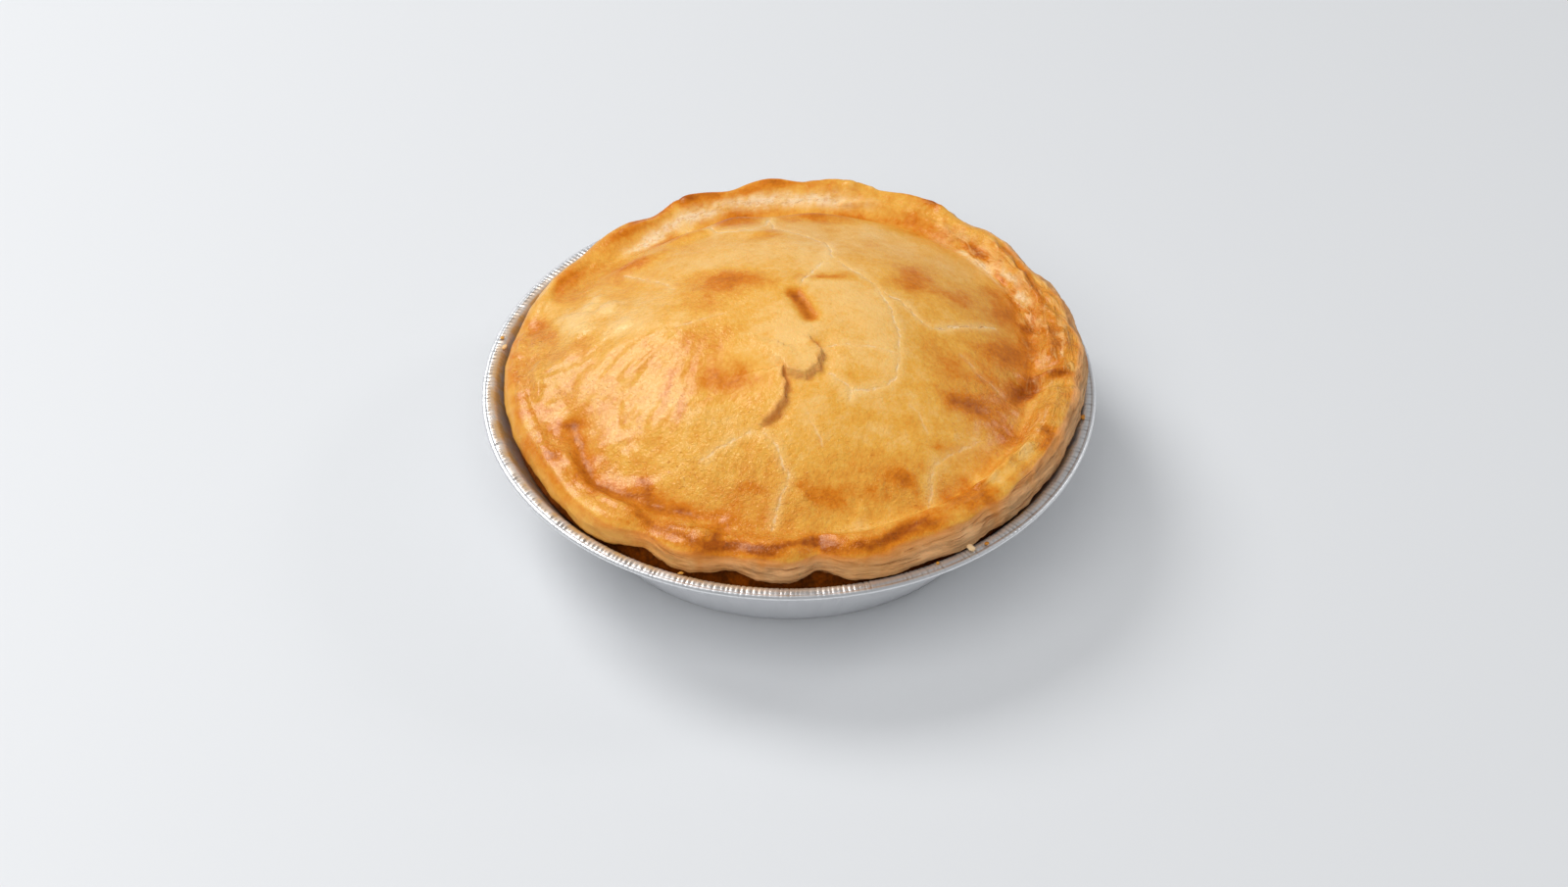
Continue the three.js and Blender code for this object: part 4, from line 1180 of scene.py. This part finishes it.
class POTPIE_OT_crust(bpy.types.Operator):
    """Turn a blank, then press the dome, the crimped edge, the split, cracks and blisters into it"""
    bl_idname = "pot_pie.crust"
    bl_label = "Crust"

    def execute(self, context):
        settings = context.scene.pot_pie_crust
        obj = turned_blank("pie_crust", crust_profile(), settings.segments)
        mesh = obj.data
        blank = points_of(mesh)
        station = read_values(mesh, "station")
        angle = np.degrees(np.arctan2(blank[:, 1], blank[:, 0]))
        places, tones = crust_places(station, angle, settings)
        move_points(mesh, places)
        for name, values in crust_tones(tones).items():
            write_values(mesh, name, values)
        mesh.attributes.remove(mesh.attributes["station"])
        contact, corner = PAN_HEIGHT - CONTACT_DEPTH, BASE_CORNER + FOIL_GAP
        wall = [(wall_outside(z) - WALL_GAP, z) for z in (contact, contact / 2, corner)]
        extrude_rings(obj, [*wall, (wall[-1][0] - BASE_CORNER, FOIL_GAP)])
        mesh.materials.append(crust_material(settings))
        select_only(obj)
        bpy.ops.object.shade_smooth()
        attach(obj, "root")
        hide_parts("pie")
        return {"FINISHED"}


# =================================================================================================
# Crumbs
# =================================================================================================

# Crumbs that lie on the rim or cling to the edge: x, y, z, half-length, half-width, turn, how brown.
CRUMBS = (
    (40.3, -57.6, 29.2, 1.35, 0.75, -50, 0.30), (44.2, -56.2, 29.0, 0.55, 0.40, 20, 0.75),
    (69.0, -13.8, 29.1, 0.75, 0.50, 80, 0.70), (-23.9, -65.6, 28.9, 0.55, 0.35, 10, 0.55),
    (-68.6, 12.0, 28.9, 0.80, 0.55, 70, 0.35), (-69.4, 15.5, 28.9, 0.50, 0.40, 30, 0.50),
    (33.0, -62.4, 28.9, 0.45, 0.35, 0, 0.60),
)
CRUMB_FLATNESS = 0.8       # a crumb's height as a share of its width
CRUMB_RAGGEDNESS = 0.45


class POTPIE_OT_crumbs(bpy.types.Operator):
    """Knock small balls into ragged crumbs and set them on the rim and the edge"""
    bl_idname = "pot_pie.crumbs"
    bl_label = "Crumbs"

    def execute(self, context):
        deselect_all()
        crumbs = []
        for number, (x, y, z, half_length, half_width, turn, brown) in enumerate(CRUMBS):
            bpy.ops.mesh.primitive_ico_sphere_add(subdivisions=4, radius=MM, location=(0, 0, 0))
            crumb = context.active_object
            ball = points_of(crumb.data) / MM
            away = 1.0 + CRUMB_RAGGEDNESS * rough(*(ball.T + 9.0 * number), 0.9, 301, 3)
            c, s = math.cos(math.radians(turn)), math.sin(math.radians(turn))
            reach = np.array([half_length, half_width, CRUMB_FLATNESS * half_width])
            long, across, up = (ball * away[:, None] * reach).T
            places = [x + long * c - across * s, y + long * s + across * c, z + up]
            move_points(crumb.data, np.column_stack(places) * MM)
            write_values(crumb.data, "browning", np.full(len(ball), brown))
            crumbs.append(crumb)
        deselect_all()
        for crumb in crumbs:
            crumb.select_set(True)
        context.view_layer.objects.active = crumbs[0]
        bpy.ops.object.join()
        obj = context.active_object
        obj.name = obj.data.name = "crumbs"
        obj.data.materials.append(crumb_material(context.scene.pot_pie_crust))
        bpy.ops.object.shade_smooth()
        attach(obj, "root")
        return {"FINISHED"}


# =================================================================================================
# The foil pan
# =================================================================================================

CRIMP_STEPS = 4            # steps round the rim for each crimp
FIRST_WALL, LAST_WALL = 5, 14  # the points of the outline that make the wall
SHEET_INSET = 0.2          # the sheet's middle lies this far inside the pan's outside

# Coarse outline of the blank: radius, height.
PAN_BLANK = ((0.0, 0.2), (40.0, 0.2), (54.0, 3.0), (60.0, 12.0), (68.0, 26.0), (72.0, 28.4), (73.0, 27.0),
             (71.8, 26.0))

# The rim from the top of the wall over the bead to the hem, measured from its outside and top.
FLANGE = (
    (-3.0, -0.28), (-2.72, -0.10), (-2.3, -0.04), (-1.85, -0.05), (-1.5, -0.14), (-1.22, -0.24),
    (-1.06, -0.27), (-0.92, -0.24), (-0.62, -0.22), (-0.30, -0.36), (-0.12, -0.66), (-0.22, -0.98),
    (-0.6, -1.12), (-1.4, -1.12),
)

# Places along the outline, counted in its points, and their half-widths.
CRIMPED_BEAD = (18.0, 2.6)
CRIMPED_HEM = (24.0, 2.0)
GREASED_BEAD = (15.5, 2.6)
SHADED_CRIMPS = (20.0, 3.0)
DARK_BEAD_LINE = (18.6, 0.9)
DARK_HEM_LINE = (21.0, 0.8)


def pan_profile():
    """The pan's sheet from the middle of the base up the wall and over the rolled rim."""
    heights = np.linspace(BASE_CORNER, PAN_HEIGHT - WALL_TOP_DEPTH, LAST_WALL - FIRST_WALL + 1)
    return [
        (0.0, SHEET_INSET), (20.0, SHEET_INSET), (40.0, SHEET_INSET),
        (BASE_RADIUS - BASE_CORNER - 0.4, SHEET_INSET), (BASE_RADIUS - 0.75, 0.55),
        *((wall_outside(z) - SHEET_INSET, z) for z in heights),
        *((RIM_RADIUS + r, PAN_HEIGHT + z) for r, z in FLANGE),
    ]


def along_sheet(station, place):
    """1 at a place along the outline, dying away to both sides of it."""
    return bell(station - place[0], place[1])


def crimped(radius, height, station, angle, settings):
    """Crimp the rolled rim and pleat the wall below it."""
    c, s = np.cos(np.radians(angle)), np.sin(np.radians(angle))
    phase = angle / 360.0 * settings.crimps
    phase = phase + 0.45 * grain(c * 60, s * 60, 0, 3.0, 201)
    fold = np.abs(np.mod(phase, 1.0) - 0.5) * 2.0
    notch = ease((fold - 0.62) / 0.38)
    uneven = np.clip(0.85 + 0.8 * grain(np.floor(phase) * 7.3, 0, 0, 1.0, 202), 0.40, 1.5)
    # The crimps are pressed across the inner bead, and the hem outside the groove stays nearly smooth.
    bead = along_sheet(station, CRIMPED_BEAD) + 0.25 * along_sheet(station, CRIMPED_HEM)
    height = height - bead * settings.crimp_depth / MM * uneven * notch
    pleat = settings.pleat_depth / MM * uneven * (notch - 0.4)
    share = np.clip((station - FIRST_WALL) / (LAST_WALL - FIRST_WALL), 0.0, 1.0)
    on_wall = (station >= FIRST_WALL) & (station <= LAST_WALL + 2)
    radius = radius + np.where(on_wall, pleat * (0.25 + 0.75 * share ** 2.2), 0.0)
    sway = 0.12 * rough(c * 72, s * 72, height, 14.0, 205, 2)
    sway = sway + 0.11 * share * rough(c * 72, s * 72, 0, 3.6, 207, 2)
    low_sway = np.clip((height - 1.0) / 10.0, 0.0, 1.0) * (height < PAN_HEIGHT - 1.0)
    return radius + sway * low_sway, height, notch * np.clip(uneven, 0.0, 1.0)


def pan_tones(station, angle, height, pleated):
    """Baked-on butter, a dark line along the bead and in the groove by the hem that is baked-on butter and
    painted shade, and painted shade in the crimps.
    """
    c, s = np.cos(np.radians(angle)), np.sin(np.radians(angle))
    bead = np.clip(1.5 * along_sheet(station, GREASED_BEAD), 0.0, 1.0)
    bead = bead * np.clip(0.20 + facing(angle, GREASY_BEAD), 0.0, 1.0)
    wall = np.clip((station - 9.0) / 4.0, 0.0, 1.0) * (station <= LAST_WALL + 1)
    patch = ease(0.5 + 1.6 * rough(60 * c, 60 * s, height, 9.0, 211, 2))
    wall = wall * np.maximum(patch, facing(angle, GREASY_WALL)) * (0.7 + 0.3 * pleated)
    # Dark line on the bead at the left and in the groove by the hem at the right: baked-on butter and
    # painted shade.
    left = along_sheet(station, DARK_BEAD_LINE) * np.clip(0.15 + facing(angle, DARK_LINE_LEFT), 0.0, 1.0)
    right = 0.6 * along_sheet(station, DARK_HEM_LINE) * facing(angle, DARK_LINE_RIGHT)
    return {
        "grease": np.clip(0.95 * bead + wall, 0.0, 1.0), "butter_and_shade_line": left + right,
        # Where the crimps' notches lie, for the painted shade in them.
        "crimp_shade": pleated * along_sheet(station, SHADED_CRIMPS),
    }


def clean_outside(mesh):
    """Keep the baked-on butter, and the dark line of butter and painted shade, to the side of the foil
    that faces the pastry.
    """
    places = points_of(mesh)
    normals = np.empty(len(mesh.vertices) * 3)
    mesh.vertex_normals.foreach_get("vector", normals)
    normals = normals.reshape(-1, 3)
    reach = np.maximum(np.hypot(*places[:, :2].T), MM)
    outward = (normals[:, :2] * places[:, :2]).sum(axis=1) / reach
    inside = (outward < 0.3) & (normals[:, 2] > -0.2)
    for name in ("grease", "butter_and_shade_line"):
        write_values(mesh, name, read_values(mesh, name) * inside)


class POTPIE_OT_pan(bpy.types.Operator):
    """Spin the pan's sheet, crimp its rim and pleat its wall, then give the foil its thickness"""
    bl_idname = "pot_pie.pan"
    bl_label = "Foil pan"

    def execute(self, context):
        settings = context.scene.pot_pie_pan
        obj = turned_blank("foil_pan_crimped", PAN_BLANK, settings.crimps * CRIMP_STEPS)
        mesh = obj.data
        blank = points_of(mesh)
        station = read_values(mesh, "station")
        angle = np.degrees(np.arctan2(blank[:, 1], blank[:, 0]))
        profile = np.array(pan_profile())
        radius, height = (np.interp(station, np.arange(len(profile)), profile[:, k]) for k in (0, 1))
        radius, height, pleated = crimped(radius, height, station, angle, settings)
        c, s = np.cos(np.radians(angle)), np.sin(np.radians(angle))
        move_points(mesh, np.column_stack([radius * c, radius * s, height]) * MM)
        for name, values in pan_tones(station, angle, height, pleated).items():
            write_values(mesh, name, values)
        mesh.attributes.remove(mesh.attributes["station"])
        mesh.materials.append(foil_material(settings))
        select_only(obj)
        sheet = obj.modifiers.new("Foil thickness", "SOLIDIFY")
        sheet.thickness = settings.foil_thickness
        sheet.offset = 0.0
        bpy.ops.object.modifier_apply(modifier=sheet.name)
        clean_outside(mesh)
        bpy.ops.object.shade_smooth()
        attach(obj, "root")
        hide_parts("foil_pan")
        return {"FINISHED"}


# =================================================================================================
# Floor, light and camera
# =================================================================================================

CAMERA_PLACE = (-0.00113, -0.50691, 0.46496)
CAMERA_PITCH = 42.01       # degrees below level
CAMERA_LENS = 64.43        # millimetres,
CAMERA_SENSOR = 36.0       # on a sensor this wide
CAMERA_NEAR = 0.01
AIM_HEIGHT = 0.03          # the lights point at the middle of the pie
FLOOR_SIZE = 6.0
ROOM_TINT = (0.96, 0.98, 1.0, 1.0)
SOFT_LIGHTS = (            # name, direction, distance, width, height, seen in reflections
    ("key_light", (-0.54, 0.43, 0.72), 1.2, 0.62, 0.56, True),
    ("front_light", (-0.22, -0.50, 0.84), 1.6, 2.0, 1.4, False),
    ("side_light", (0.80, 0.32, 0.50), 1.2, 0.28, 0.24, True),
)


class POTPIE_OT_stage(bpy.types.Operator):
    """Lay the plain floor, hang the soft light and place the camera"""
    bl_idname = "pot_pie.stage"
    bl_label = "Stage"

    def execute(self, context):
        settings = context.scene.pot_pie_stage
        scene = context.scene
        deselect_all()
        bpy.ops.mesh.primitive_plane_add(size=FLOOR_SIZE, location=(0, 0, 0))
        floor = context.active_object
        floor.name = "floor"
        floor.data.materials.append(floor_material(settings))

        aim = Vector((0.0, 0.0, AIM_HEIGHT))
        powers = (settings.key_power, settings.front_power, settings.side_power)
        for (name, direction, distance, width, tall, reflected), power in zip(SOFT_LIGHTS, powers):
            direction = Vector(direction).normalized()
            bpy.ops.object.light_add(type="AREA", location=aim + direction * distance)
            lamp = context.active_object
            lamp.name = name
            lamp.data.shape = "ELLIPSE"
            lamp.data.size, lamp.data.size_y = width, tall
            lamp.data.energy = power
            lamp.rotation_euler = direction.to_track_quat("Z", "Y").to_euler()
            lamp.visible_glossy = reflected

        world = bpy.data.worlds.new("Soft room")
        world.use_nodes = True
        background = world.node_tree.nodes["Background"]
        background.inputs["Color"].default_value = ROOM_TINT
        background.inputs["Strength"].default_value = settings.room
        scene.world = world
        scene.view_settings.view_transform = "Standard"

        tilt = math.radians(90.0 - CAMERA_PITCH)
        bpy.ops.object.camera_add(location=CAMERA_PLACE, rotation=(tilt, 0.0, 0.0))
        camera = context.active_object
        camera.name = "photo_camera"
        camera.data.lens = CAMERA_LENS
        camera.data.sensor_width = CAMERA_SENSOR
        camera.data.clip_start = CAMERA_NEAR
        scene.camera = camera
        return {"FINISHED"}


# =================================================================================================
# Panel and registration
# =================================================================================================


class POTPIE_PT_sidebar(bpy.types.Panel):
    """Lists the pie's pieces and settings"""
    bl_idname = "POTPIE_PT_sidebar"
    bl_label = "Pot pie"
    bl_space_type = "VIEW_3D"
    bl_region_type = "UI"
    bl_category = "Pot pie"

    def draw(self, context):
        for operator in PIECES:
            self.layout.operator(operator.bl_idname)
        for group in (context.scene.pot_pie_crust, context.scene.pot_pie_pan, context.scene.pot_pie_stage):
            box = self.layout.box()
            for name in group.__annotations__:
                box.prop(group, name)


PIECES = (POTPIE_OT_crust, POTPIE_OT_crumbs, POTPIE_OT_pan, POTPIE_OT_stage)
CLASSES = (PotPieCrustSettings, PotPiePanSettings, PotPieStageSettings, *PIECES, POTPIE_PT_sidebar)


def register():
    for cls in CLASSES:
        bpy.utils.register_class(cls)
    bpy.types.Scene.pot_pie_crust = PointerProperty(type=PotPieCrustSettings)
    bpy.types.Scene.pot_pie_pan = PointerProperty(type=PotPiePanSettings)
    bpy.types.Scene.pot_pie_stage = PointerProperty(type=PotPieStageSettings)


def unregister():
    del bpy.types.Scene.pot_pie_stage
    del bpy.types.Scene.pot_pie_pan
    del bpy.types.Scene.pot_pie_crust
    for cls in reversed(CLASSES):
        bpy.utils.unregister_class(cls)


def main():
    register()
    bpy.ops.pot_pie.crust()
    bpy.ops.pot_pie.crumbs()
    bpy.ops.pot_pie.pan()
    bpy.ops.pot_pie.stage()


if __name__ == "__main__":
    main()
